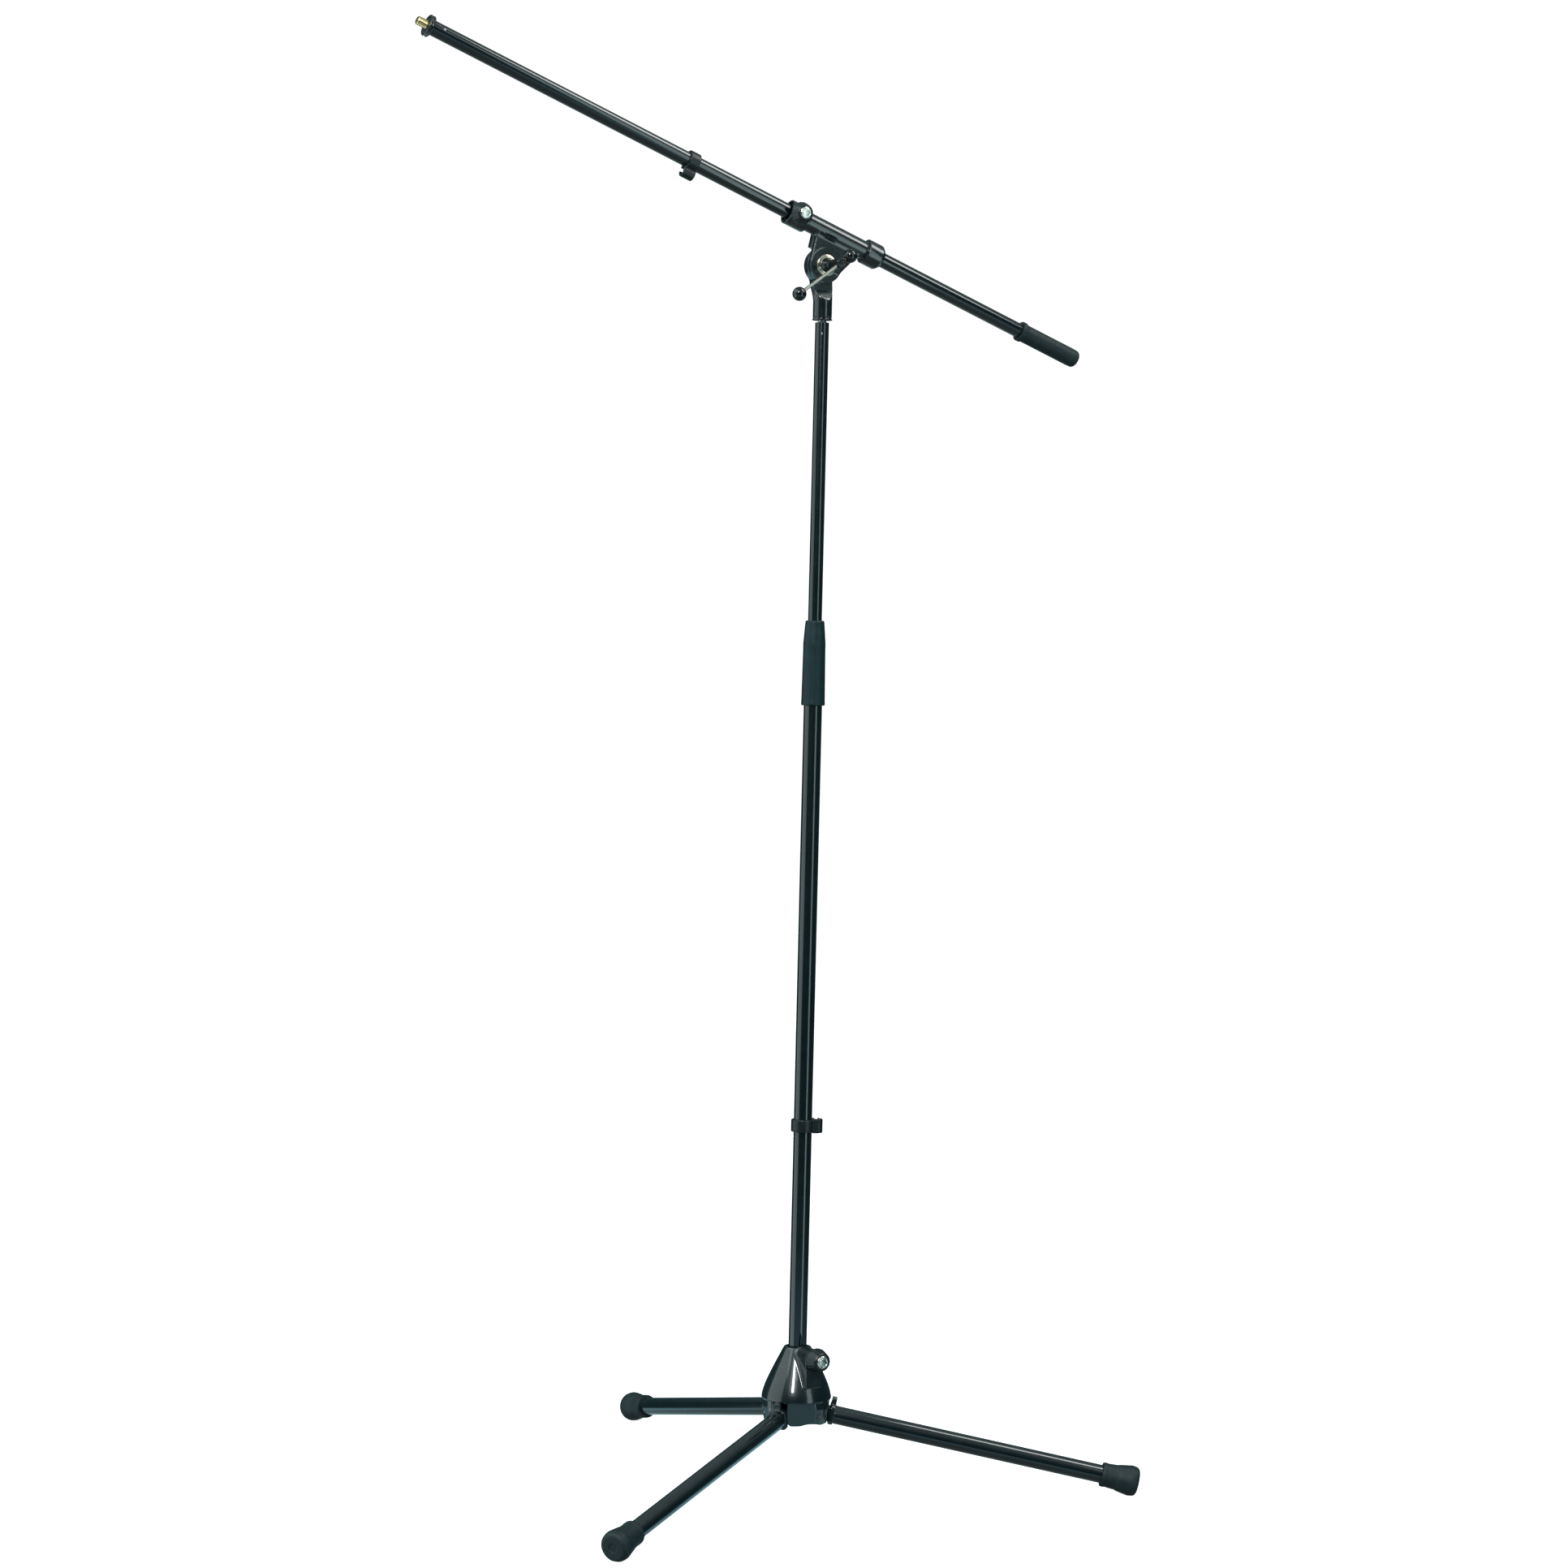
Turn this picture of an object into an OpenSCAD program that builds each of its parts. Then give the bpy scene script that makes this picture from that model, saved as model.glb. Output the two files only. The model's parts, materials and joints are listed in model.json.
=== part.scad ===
// Boom microphone stand with a folding tripod base, a telescoping pole and a
// one-piece boom on a tilting swivel. Millimetres, +Z up. The origin is the
// floor point under the pole's axis. The boom lies in the XZ plane with its
// front end towards -X. The tilt pivot's axis runs along Y.

/* [Pole] */
// Outside diameter of the lower tube
lower_d = 20; // [19.6:0.1:20]
// Wall of the lower tube
lower_wall = 1.2; // [1:0.1:1.3]
// Outside diameter of the upper tube
upper_d = 15; // [14.6:0.1:15]
// Wall of the upper tube
upper_wall = 1.2; // [1:0.1:1.4]
// Height of the lower tube's bottom end above the floor
lower_z0 = 77; // [76:1:80]
// Height of the top of the clutch grip
clutch_top = 950; // [900:5:980]
// Height of the top end of the upper tube
upper_top = 1271; // [1240:1:1300]
// Length of the upper tube
upper_len = 780; // [700:10:800]

/* [Swivel and boom] */
// Height of the tilt pivot
pivot_z = 1332; // [1330:0.5:1334]
// Elevation of the boom in degrees
elev = 20.9; // [0:0.1:45]
// Distance from the tilt pivot to the boom's axis
boom_off = 35.5; // [35:0.1:37]
// Outside diameter of the boom tube
boom_d = 16; // [15.6:0.1:16]
// Wall of the boom tube
boom_wall = 1.2; // [1:0.1:1.4]
// Boom length ahead of the pole's axis
boom_front = 491; // [440:1:520]
// Boom length behind the pole's axis, with its grip
boom_rear = 345; // [300:1:380]
// Place of the cable clip along the boom, ahead of the pole's axis
boom_clip_t = 172; // [165:1:300]

/* [Base and legs] */
// Radius at which each leg's pivot pin sits
pin_r = 25; // [25:0.1:25.5]
// Height of each leg's pivot pin
pin_z = 85.6; // [85.2:0.1:86.4]
// Downward slope of the open legs in degrees
leg_slope = 11.5; // [11.4:0.1:12]
// Outside diameter of the leg tubes
leg_d = 20; // [19:0.1:20]
// Distance from the pivot pin to the tip of the foot, along the leg
leg_len = 359; // [356:0.5:366]
// Azimuth of the first leg in degrees
leg_azimuth = -26.7; // [-30:0.1:-20]
// Azimuth of the base clamp knob in degrees
knob_azimuth = -86.7; // [-88:0.1:-85]
// Height of the base clamp knob's axis
knob_z = 149; // [148:0.5:149.5]

/* [Fits] */
// Radial running clearance of sliding tubes and pins
run = 0.05; // [0.03:0.01:0.08]
// Diameter of the two threaded studs (3/8 inch)
stud_d = 9.525; // [9:0.005:9.6]

/* [Hidden] */
$fn = 96;
face = 0.06; // gap between faces that turn on each other
lower_r = lower_d / 2;
lower_bore_r = lower_r - lower_wall;
upper_r = upper_d / 2;
upper_bore_r = upper_r - upper_wall;
boom_r = boom_d / 2;
boom_bore_r = boom_r - boom_wall;
stud_r = stud_d / 2;

// Colours shared by several pieces
silver = "silver";
tube_black = [0.06, 0.08, 0.085];
leg_black = [0.06, 0.075, 0.08];
knob_black = [0.05, 0.055, 0.06];
ring_black = [0.04, 0.04, 0.04];
clip_black = [0.06, 0.065, 0.07];
dark_grey = [0.1, 0.1, 0.1];
pale_grey = [0.75, 0.74, 0.7];

// ---------------------------------------------------------------- shapes
// Cylinder along X from x0 to x1
module xcyl(x0, x1, r) translate([x0, 0, 0]) rotate([0, 90, 0]) cylinder(h = x1 - x0, r = r);
// Cylinder along Y from y0 to y1
module ycyl(y0, y1, r) translate([0, y1, 0]) rotate([90, 0, 0]) cylinder(h = y1 - y0, r = r);
// Solid of revolution about X, from points [x, radius]
module xturn(points) rotate([0, 90, 0]) rotate_extrude() polygon([for (p = points) [p[1], p[0]]]);
// Plate from y0 to y1, from points [x, z]
module yplate(y0, y1, points)
  translate([0, y1, 0]) rotate([90, 0, 0]) linear_extrude(y1 - y0) polygon(points);
// Tube along Z from z0 to z1
module tube(z0, z1, outer_r, inner_r) difference() {
  translate([0, 0, z0]) cylinder(h = z1 - z0, r = outer_r);
  translate([0, 0, z0 - 1]) cylinder(h = z1 - z0 + 2, r = inner_r);
}

// Round knob on X from back_x: the rim draws in from rim_r to front_r, with
// notches round it, a hub behind it, a recess for the cap and a bore for the screw
cap_inset = 1.2;
module knob(back_x, depth, rim_r, front_r, hub_len, notches, cap_r, bore_r, screw_in) {
  front_x = back_x + depth;
  difference() {
    union() {
      xturn([[back_x, 0], [back_x, rim_r - 2.4], [back_x + 0.8, rim_r - 0.7],
        [back_x + 2.4, rim_r], [front_x - 2, front_r + 0.4], [front_x - 0.6, front_r - 0.5],
        [front_x, front_r - 1.6], [front_x, 0]]);
      xcyl(back_x - hub_len, back_x + 1, rim_r * 0.56);
    }
    for (k = [0:notches - 1]) rotate([360 * k / notches, 0, 0])
      translate([0, 0, rim_r + 1.1]) xcyl(back_x - 1, front_x + 1, 1.7, $fn = 24);
    xcyl(front_x - cap_inset, front_x + 1, cap_r);
    xcyl(back_x - hub_len - 1, back_x + screw_in, bore_r);
  }
}
// Cap in a knob's recess; crown holds [x ahead of the knob's front, radius]
module knob_cap(front_x, cap_r, crown) xturn(concat(
  [[front_x - cap_inset, 0], [front_x - cap_inset, cap_r], [front_x, cap_r]],
  [for (p = crown) [front_x + p[0], p[1]]]));

// Clip round a tube along Z, with a hook for the cable on +X that opens towards +Y
module cable_clip(tube_r, wall, height) {
  hook_h = height + 2;
  difference() {
    union() {
      cylinder(h = height, r = tube_r + wall, center = true);
      translate([tube_r + 5.4, 0, 0]) cylinder(h = hook_h, r = 6.2, center = true);
      translate([tube_r + 0.5, -3, -hook_h / 2]) cube([5, 6, hook_h]);
    }
    cylinder(h = height + 8, r = tube_r + run, center = true);
    translate([tube_r + 6, 0, 0]) cylinder(h = height + 8, r = 3.6, center = true);
    translate([tube_r + 6, 0, -height]) rotate([0, 0, 95]) cube([12, 3.4, 2 * height]);
  }
}

// Jam ring for a stud, with eased outer edges
module lock_ring(thick, outer_r) rotate_extrude() polygon([[stud_r + run, 0],
  [outer_r - 1.6, 0], [outer_r - 0.4, 0.35], [outer_r, 1.1],
  [outer_r, thick - 1.1], [outer_r - 0.4, thick - 0.35], [outer_r - 1.6, thick],
  [stud_r + run, thick]]);

// ------------------------------------------------------------------- base
dome_top = 157.4;
band_z = 101.5;      // top of the band round the bottom of the dome
base_bottom = 75;
boss_r = 10.6;       // boss of the clamp knob
boss_x = [8, 36];    // ends of the boss, from the pole's axis
pad_bore_x = 20.5;   // outer end of the pressure pad's bore
slot_x = 13.2;       // inner end of the leg slots
slot_w = 16.6;
relief_w = 21.2;     // width of the relief for the hinge block's flange
leg_pin_r = 3;
base_screw_r = 4;
base_knob_x = 38.6;  // back of the clamp knob, from the pole's axis
base_knob_depth = 15;
base_screw_in = 9;   // depth of the screw in the knob

// Point on the cubic curve with control points c
function bezier(c, t) = let (u = 1 - t)
  u * u * u * c[0] + 3 * u * u * t * c[1] + 3 * u * t * t * c[2] + t * t * t * c[3];
// Control points [radius, z] from the neck down to the shoulder
dome_control = [[14.6, dome_top], [31.4, 124], [38.4, 111], [38.4, 98]];
dome_curve = [for (i = [1:17]) bezier(dome_control, 1 - i / 18)];
// Outline [radius, z]: a band that draws in towards the bottom, a small step,
// then the curve above it up to the neck
dome_outline = concat(
  [[0, base_bottom], [34.4, base_bottom], [35, base_bottom + 0.8], [37.6, 93],
   [37.8, band_z - 0.4], [38.3, band_z]],
  [for (p = dome_curve) if (p[1] > band_z + 1) p],
  [[15, dome_top - 1], [14.2, dome_top], [0, dome_top]]);

// Azimuth frame of leg i, its X outwards from the pole's axis
module leg_turn(i) rotate([0, 0, leg_azimuth + 120 * i]) children();
// Base knob frame: X outwards along the knob's axis, origin on the pole's axis
module base_knob_frame() rotate([0, 0, knob_azimuth]) translate([0, 0, knob_z]) children();

// Everything cut away for one leg, in its azimuth frame
module leg_cuts() {
  // slot, open to the outside and below
  translate([slot_x, -slot_w / 2, 60]) cube([40, slot_w, 40]);
  // relief round the pin for the hinge block's flange
  difference() {
    translate([slot_x, -relief_w / 2, 60]) cube([40, relief_w, 26.1]);
    translate([pin_r, 0, pin_z]) ycyl(-20, 20, 11.4);
  }
  translate([pin_r + 10.9, -relief_w / 2, 80]) cube([20, relief_w, 20]);
  // pin bore, open on the -Y side only
  translate([pin_r, 0, pin_z]) ycyl(-32, 15.5, leg_pin_r);
  // flat panel in the band beside the slot, leaning in towards the bottom
  rotate([0, 0, 37.7]) translate([34.5, 0, band_z - 0.5]) rotate([0, 6.4, 0])
    translate([0, -20, -40]) cube([12, 40, 40]);
}
module base_casting() color([0.05, 0.07, 0.075]) difference() {
  union() {
    rotate_extrude() polygon(dome_outline);
    // boss of the clamp knob: straight sides and a round top
    rotate([0, 0, knob_azimuth]) translate([boss_x[0], -boss_r, 117.5])
      cube([boss_x[1] - boss_x[0], 2 * boss_r, knob_z - 117.5]);
    base_knob_frame() xcyl(boss_x[0], boss_x[1], boss_r);
  }
  // pole bore, eased at the top
  translate([0, 0, 60]) cylinder(h = 120, r = lower_r + run);
  translate([0, 0, dome_top - 2.5]) cylinder(h = 20, r = lower_r + 1.2);
  // shallow arch in the bottom edge between the legs
  for (i = [0:2]) leg_turn(i + 0.5) translate([0, 0, base_bottom - 26]) xcyl(20, 50, 28.2);
  for (i = [0:2]) leg_turn(i) leg_cuts();
  // bore of the pad and of the clamp screw
  base_knob_frame() {
    xcyl(0, pad_bore_x, 5.6);
    xcyl(0, 60, base_screw_r + 0.05);
  }
}
module leg_pivot_pins() color(silver)
  for (i = [0:2]) leg_turn(i) translate([pin_r, 0, pin_z]) ycyl(-24.4, 15, leg_pin_r);

module base_knob() color(knob_black) base_knob_frame()
  knob(back_x = base_knob_x, depth = base_knob_depth, rim_r = 13.2, front_r = 9.9,
    hub_len = 2.3, notches = 20, cap_r = 7, bore_r = base_screw_r, screw_in = base_screw_in);
module base_knob_cap() color(silver) base_knob_frame()
  knob_cap(base_knob_x + base_knob_depth, cap_r = 7, crown = [[0.6, 6], [0.9, 4], [1, 0]]);
module base_clamp_screw() color(silver) base_knob_frame()
  xcyl(16.05, base_knob_x + base_screw_in, base_screw_r);
// Pad with its inner end hollowed to the lower tube
module base_pressure_pad() color(dark_grey) difference() {
  base_knob_frame() xcyl(8, 16, 5.5);
  cylinder(h = 300, r = lower_r + face);
}

// ------------------------------------------------------------------- legs
leg_r = leg_d / 2;
leg_wall = 1.2;
eye_r = 7.6;
eye_w = 15.6;
flange_x = 11.6;                   // inner face of the hinge block's flange
flange_t = 5.2;
leg_tube_x = flange_x + flange_t;  // the tube butts on the flange
foot_end_t = 6;                    // solid end of the foot, beyond the tube
tab_w = 9;
tab_top_z = 15.2;                  // centre of the stop tab's round top

// Foot outline [x from the tip, radius]: a rolled collar, then a body that
// widens to a blunt round end, then the bore for the tube
foot_outline = concat(
  [[-41, leg_r], [-41, 12.9], [-40.2, 13.6], [-37.2, 13.6], [-36.4, 12.9], [-35.6, 12.9]],
  [for (i = [0:6]) let (a = i / 6) [-35 + 25 * a, 13.1 + 3.5 * a - 0.25 * sin(180 * a)]],
  [for (i = [1:8]) let (a = i * 11.25) [-8 + 8 * sin(a), 9.2 + 7.5 * cos(a)]],
  [[0, 0], [-foot_end_t, 0], [-foot_end_t, leg_r]]);

// Leg frame: origin on the pivot pin, X along the leg, towards the foot
module leg_frame(i) leg_turn(i)
  translate([pin_r, 0, pin_z]) rotate([0, leg_slope, 0]) children();

module leg_hinge_block() color(leg_black) difference() {
  union() {
    // eye round the pin and the lug that carries the tube
    ycyl(-eye_w / 2, eye_w / 2, eye_r);
    translate([0, -eye_w / 2, -eye_r]) cube([14, eye_w, 2 * eye_r]);
    // flange against the slot's mouth
    intersection() {
      translate([flange_x, -10, -10.6]) cube([flange_t, 20, 22]);
      xcyl(flange_x, leg_tube_x, 13);
    }
    // stop tab on top of the flange
    translate([flange_x, -tab_w / 2, 8]) cube([flange_t, tab_w, tab_top_z - 8]);
    translate([0, 0, tab_top_z]) xcyl(flange_x, leg_tube_x, tab_w / 2);
    // spigot inside the leg tube
    xcyl(16, 42, leg_r - 1.25);
  }
  ycyl(-10, 10, leg_pin_r + run);
}
module leg_tube() color(leg_black) difference() {
  xcyl(leg_tube_x, leg_len - foot_end_t, leg_r);
  xcyl(16, leg_len - 5, leg_r - leg_wall);
}
module leg_foot() color(knob_black) difference() {
  translate([leg_len, 0, 0]) xturn(foot_outline);
  // level flat on the floor
  rotate([0, -leg_slope, 0]) translate([leg_len - 80, -30, -pin_z - 30]) cube([120, 60, 30]);
}
module leg_1_hinge_block() leg_frame(0) leg_hinge_block();
module leg_1_tube() leg_frame(0) leg_tube();
module leg_1_foot() leg_frame(0) leg_foot();
module leg_2_hinge_block() leg_frame(1) leg_hinge_block();
module leg_2_tube() leg_frame(1) leg_tube();
module leg_2_foot() leg_frame(1) leg_foot();
module leg_3_hinge_block() leg_frame(2) leg_hinge_block();
module leg_3_tube() leg_frame(2) leg_tube();
module leg_3_foot() leg_frame(2) leg_foot();

// ------------------------------------------------------------------- pole
grip_len = 92;
clutch_z = clutch_top - grip_len;  // bottom of the clutch grip
tube_top = clutch_top - 35;        // top end of the lower tube
collet_z0 = clutch_top - 30.8;     // bottom of the collet
collet_ring = 3;                   // height of the collet's unsplit ring
collet_len = 26;
slit_w = 1.2;
bush_z = upper_top - upper_len;    // floor of the guide bush
pole_clip_z = 400;                 // middle of the pole's cable clip
crimp_in = 2;                      // depth of the crimp pins inside a tube's bore
top_crimp_r = 1.1;
socket_z = upper_top + 6;          // bottom face of the swivel socket

module lower_tube() color(tube_black) tube(lower_z0, tube_top, lower_r, lower_bore_r);
module lower_tube_plug() color([0.08, 0.08, 0.08]) {
  translate([0, 0, lower_z0 - 1.5]) cylinder(h = 1.5, r = lower_r - 0.2);
  translate([0, 0, lower_z0]) cylinder(h = 12, r = lower_bore_r);
}
// Threaded sleeve pressed on the lower tube, with a lip over the tube's end
module clutch_body() color(dark_grey) difference() {
  translate([0, 0, clutch_z + 10]) cylinder(h = tube_top - clutch_z - 6, r = lower_r + 1);
  translate([0, 0, clutch_z]) cylinder(h = tube_top - clutch_z, r = lower_r);
  translate([0, 0, clutch_z]) cylinder(h = grip_len, r = upper_r + 0.5);
}
// Split collet: a cone that the grip presses on the upper tube
module clutch_collet() color(pale_grey) difference() {
  rotate_extrude() polygon([[upper_r + run, collet_z0], [upper_r + 2.2, collet_z0],
    [upper_r + 2.2, collet_z0 + collet_ring], [upper_r + 1.3, collet_z0 + collet_len],
    [upper_r + run, collet_z0 + collet_len]]);
  for (k = [0:2]) rotate([0, 0, 120 * k])
    translate([-slit_w / 2, 0, collet_z0 + collet_ring]) cube([slit_w, 20, 40]);
}
// Twist grip, outline [radius, z]: up the outside, which swells downwards, then
// down the inside, a cone over the collet and a thread bore below it
module clutch_grip() color(knob_black) rotate_extrude() polygon(concat(
  [[lower_r + 0.3, clutch_z], [12, clutch_z], [12.7, clutch_z + 0.7], [13, clutch_z + 2.2],
   [12.9, clutch_z + 6]],
  [for (i = [0:6]) let (a = i / 6) [12.85 - 0.35 * a, clutch_z + 10 + 44 * a]],
  [for (i = [1:6]) let (a = i / 6) [12.5 - 1.1 * a - 0.9 * a * a, clutch_z + 54 + 34 * a]],
  [[10.2, clutch_top - 1.6], [9.8, clutch_top - 0.6], [9, clutch_top]],
  [[upper_r + 0.25, clutch_top], [upper_r + 0.25, clutch_top - 4.6],
   [upper_r + 1.36, clutch_top - 4.6], [upper_r + 2.26, collet_z0 + collet_ring],
   [upper_r + 2.26, collet_z0 + 0.1], [lower_r + 1.08, collet_z0 + 0.1],
   [lower_r + 1.08, clutch_z + 8], [lower_r + 0.3, clutch_z + 8]]));
module pole_cable_clip() color(clip_black) translate([0, 0, pole_clip_z]) rotate([0, 0, -28])
  cable_clip(tube_r = lower_r, wall = 2.9, height = 13.5);
// Cup on the upper tube's bottom end that slides in the lower tube
module tube_guide_bush() color(pale_grey) difference() {
  translate([0, 0, bush_z - 2]) cylinder(h = 26, r = lower_bore_r - run);
  translate([0, 0, bush_z]) cylinder(h = 30, r = upper_r + run);
}

// X along the top crimp pin, outwards from the pole's axis
module top_crimp_frame() translate([0, 0, upper_top - 12]) rotate([0, 0, -118]) children();
module upper_tube() color(tube_black) difference() {
  tube(bush_z + face, upper_top, upper_r, upper_bore_r);
  top_crimp_frame() xcyl(2, 20, top_crimp_r);
}
module top_stud() color(silver) difference() {
  union() {
    translate([0, 0, upper_top - 30]) cylinder(h = 30, r = upper_bore_r);
    translate([0, 0, upper_top]) cylinder(h = 23.5, r = stud_r);
  }
  top_crimp_frame() xcyl(upper_bore_r - crimp_in, 20, top_crimp_r);
}
// Small pin that locks the stud in the upper tube
module top_crimp_pin() color(silver) top_crimp_frame()
  xcyl(upper_bore_r - crimp_in, upper_r + 0.25, top_crimp_r);
module top_lock_ring() color(ring_black)
  translate([0, 0, socket_z - 3.7]) lock_ring(thick = 3.6, outer_r = 10.9);

// ----------------------------------------------------------------- swivel
socket_r = 10.3;
socket_disc_t = 10; // thickness of the socket's disc, on the +Y side
head_lug_t = 6.5;   // reach of the head's lug, on the -Y side
head_web_t = 8.5;   // reach of the head's web, on the +Y side
disc_r = 19;        // radius of the two pivot discs
web_cut_r = 20.2;   // arc cut in the head's web round the socket's disc
pocket_r = 14;      // pockets of the friction disc
pocket_depth = 1.05;
bolt_r = 4;
sleeve_front = 38;  // cross sleeve's front end, from the pivot along the boom
sleeve_rear = 37.5; // its rear end
liner_r = 8.95;     // bore of the cross sleeve
foot_shift = boom_off * tan(elev); // along the boom, from the pole's axis to over the pivot

module pivot_frame() translate([0, 0, pivot_z]) children();
// Head frame: origin on the tilt pivot, X parallel to the boom, front towards -X
module head_frame() pivot_frame() rotate([0, elev, 0]) children();
// Sleeve frame: the head frame raised to the boom's axis
module sleeve_frame() head_frame() translate([0, 0, boom_off]) children();
// Boom frame: X along the boom, origin where the boom's axis crosses the pole's axis
module boom_frame() sleeve_frame() translate([-foot_shift, 0, 0]) children();

module swivel_socket() color(tube_black) difference() {
  union() {
    // socket, cut on the -Y side by a shoulder that rises to the middle plane
    difference() {
      translate([0, 0, socket_z]) cylinder(h = pivot_z - socket_z - 23, r = socket_r);
      translate([0, -socket_r + 1, pivot_z - 35.4]) rotate([49, 0, 0])
        translate([-30, -40, 0]) cube([60, 80, 60]);
      translate([-30, -30, pivot_z - 24.6]) cube([60, 30 + face, 30]);
    }
    // neck on the +Y side, widening from the socket to the disc
    intersection() {
      pivot_frame() yplate(face, socket_disc_t,
        [[-11.2, -10], [-12, -24], [-12, -36], [12, -36], [12, -24], [11.2, -10]]);
      translate([0, 0, pivot_z - 36]) rotate_extrude()
        polygon([[0, 0], [socket_r, 0], [socket_r, 1], [13, 11], [16, 18], [16, 30], [0, 30]]);
    }
    // disc that faces the head's lug
    pivot_frame() ycyl(face, socket_disc_t, disc_r);
  }
  // stud bore
  translate([0, 0, socket_z - 1]) cylinder(h = 19, r = stud_r);
  // bolt bore and the pocket of the friction disc
  pivot_frame() {
    ycyl(-20, 20, bolt_r);
    ycyl(-20, pocket_depth, pocket_r);
  }
}
module swivel_head() color(tube_black) head_frame() difference() {
  union() {
    // cross sleeve
    translate([0, 0, boom_off]) xcyl(-sleeve_front, sleeve_rear, 10.25);
    // lug: tapers from the sleeve to the pivot disc
    ycyl(-head_lug_t, -face, disc_r);
    yplate(-head_lug_t, -face,
      [[-24.4, boom_off], [-18.9, -1.2], [0, -4], [18.9, -1.2], [36.5, boom_off]]);
    // web, cut back round the socket's disc
    difference() {
      yplate(-face, head_web_t,
        [[-24.4, boom_off], [-21.4, 12.4], [23.6, 12.4], [36.5, boom_off]]);
      ycyl(-1, 20, web_cut_r);
    }
  }
  translate([0, 0, boom_off]) xcyl(-60, 60, liner_r);
  ycyl(-20, 20, bolt_r + run);
  ycyl(-pocket_depth, 5, pocket_r);
}
module friction_disc() color([0.45, 0.35, 0.25]) pivot_frame() difference() {
  ycyl(-0.95, pocket_depth, 13.9);
  ycyl(-5, 5, bolt_r);
}
// Shank, with a hexagonal head on the +Y side
module pivot_bolt() color(silver) pivot_frame() {
  ycyl(-31, socket_disc_t, bolt_r);
  ycyl(socket_disc_t, socket_disc_t + 5, 7.5, $fn = 6);
}
// Outline [radius, distance towards -Y]
module pivot_washer() color(silver) pivot_frame() difference() {
  rotate([90, 0, 0]) rotate_extrude() polygon([[0, head_lug_t + face],
    [11.8, head_lug_t + face], [11.8, head_lug_t + 1.2], [10.6, head_lug_t + 2.2],
    [8.6, head_lug_t + 2.4], [0, head_lug_t + 2.4]]);
  ycyl(-20, 20, bolt_r + run);
}

// --------------------------------------------------------------- T-handle
hub_start = head_lug_t + 2.5; // ends of the hub, as distances towards -Y
hub_end = 43;
bar_y = 38.4;     // distance of the bar from the middle plane, towards -Y
bar_angle = 36;   // rise of the bar's +X end in degrees
bar_long = 60;    // from the hub's axis to the ball towards -X
bar_short = 14.6; // from the hub's axis to the ball towards +X
bar_r = 1.8;
bar_in = 3;       // reach of the bar beyond each ball's centre
ball_r = 7.6;

// Bar frame: X along the bar, origin on the hub's axis
module bar_frame() translate([0, -bar_y, pivot_z]) rotate([0, -bar_angle, 0]) children();
// Outline [radius, distance towards -Y]
module t_handle_hub() color([0.04, 0.045, 0.045]) difference() {
  pivot_frame() rotate([90, 0, 0]) rotate_extrude() polygon([[0, hub_start],
    [8.2, hub_start], [8.2, hub_start + 2], [6.4, hub_start + 5], [5.4, hub_start + 12],
    [5.4, hub_end - 12], [6.3, hub_end - 10], [6.3, hub_end - 1.4], [5, hub_end],
    [0, hub_end]]);
  pivot_frame() ycyl(-33, 0, bolt_r + run);
  bar_frame() xcyl(-20, 20, bar_r + run);
}
module t_bar_rod() color(silver) bar_frame() xcyl(-bar_long - bar_in, bar_short + bar_in, bar_r);
module t_bar_balls() color([0.03, 0.03, 0.03]) bar_frame() {
  difference() {
    translate([-bar_long, 0, 0]) sphere(r = ball_r);
    xcyl(-bar_long - bar_in, 0, bar_r);
  }
  difference() {
    translate([bar_short, 0, 0]) sphere(r = ball_r);
    xcyl(0, bar_short + bar_in, bar_r);
  }
}

// ------------------------------------------- clamp and collar on the sleeve
clamp_front = 61.8; // front face of the boom clamp, as the sleeve's front end
collar_rear = 61.2; // rear face of the rear collar, as the sleeve's rear end
clamp_knob_place = -53.2; // X of the clamp knob's axis in the sleeve frame
clamp_screw_r = 3;
clamp_knob_x = 15.6; // back of the knob, from the boom's axis
clamp_knob_depth = 12;
clamp_screw_in = 8;

// Clamp knob frame: X outwards along the knob's axis, which points to -Y
module clamp_knob_frame() sleeve_frame()
  translate([clamp_knob_place, 0, 0]) rotate([0, 0, -90]) children();

module boom_liner() color(pale_grey) sleeve_frame() difference() {
  xcyl(-sleeve_front + face, sleeve_rear - face, liner_r - run);
  xcyl(-60, 60, boom_r + run);
}
module boom_clamp() color(tube_black) sleeve_frame() difference() {
  union() {
    xturn([[-clamp_front, 0], [-clamp_front, 12.6], [-clamp_front + 0.9, 13.5],
      [-sleeve_front - 1.2, 13.5], [-sleeve_front, 12.3], [-sleeve_front, 0]]);
    // boss of the knob
    translate([clamp_knob_place, 0, 0]) ycyl(-14.6, 0, 9.6);
  }
  xcyl(-80, 0, boom_r + run);
  // open mouth
  xturn([[-clamp_front - 1, 0], [-clamp_front - 1, 11.6], [-clamp_front, 11.6],
    [-clamp_front + 5, 10.6], [-clamp_front + 5, 0]]);
  // bore of the pad and of the screw
  translate([clamp_knob_place, 0, 0]) {
    ycyl(-13.4, 0, 4.1);
    ycyl(-30, 0, clamp_screw_r + 0.05);
  }
}
module boom_clamp_knob() color(knob_black) clamp_knob_frame()
  knob(back_x = clamp_knob_x, depth = clamp_knob_depth, rim_r = 12.2, front_r = 8.9,
    hub_len = 0.9, notches = 18, cap_r = 6.6, bore_r = clamp_screw_r,
    screw_in = clamp_screw_in);
module boom_clamp_knob_cap() color(silver) clamp_knob_frame()
  knob_cap(clamp_knob_x + clamp_knob_depth, cap_r = 6.6,
    crown = [[0.5, 5.8], [0.8, 4], [0.9, 0]]);
module boom_clamp_screw() color(silver) clamp_knob_frame()
  xcyl(11.35, clamp_knob_x + clamp_screw_in, clamp_screw_r);
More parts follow.
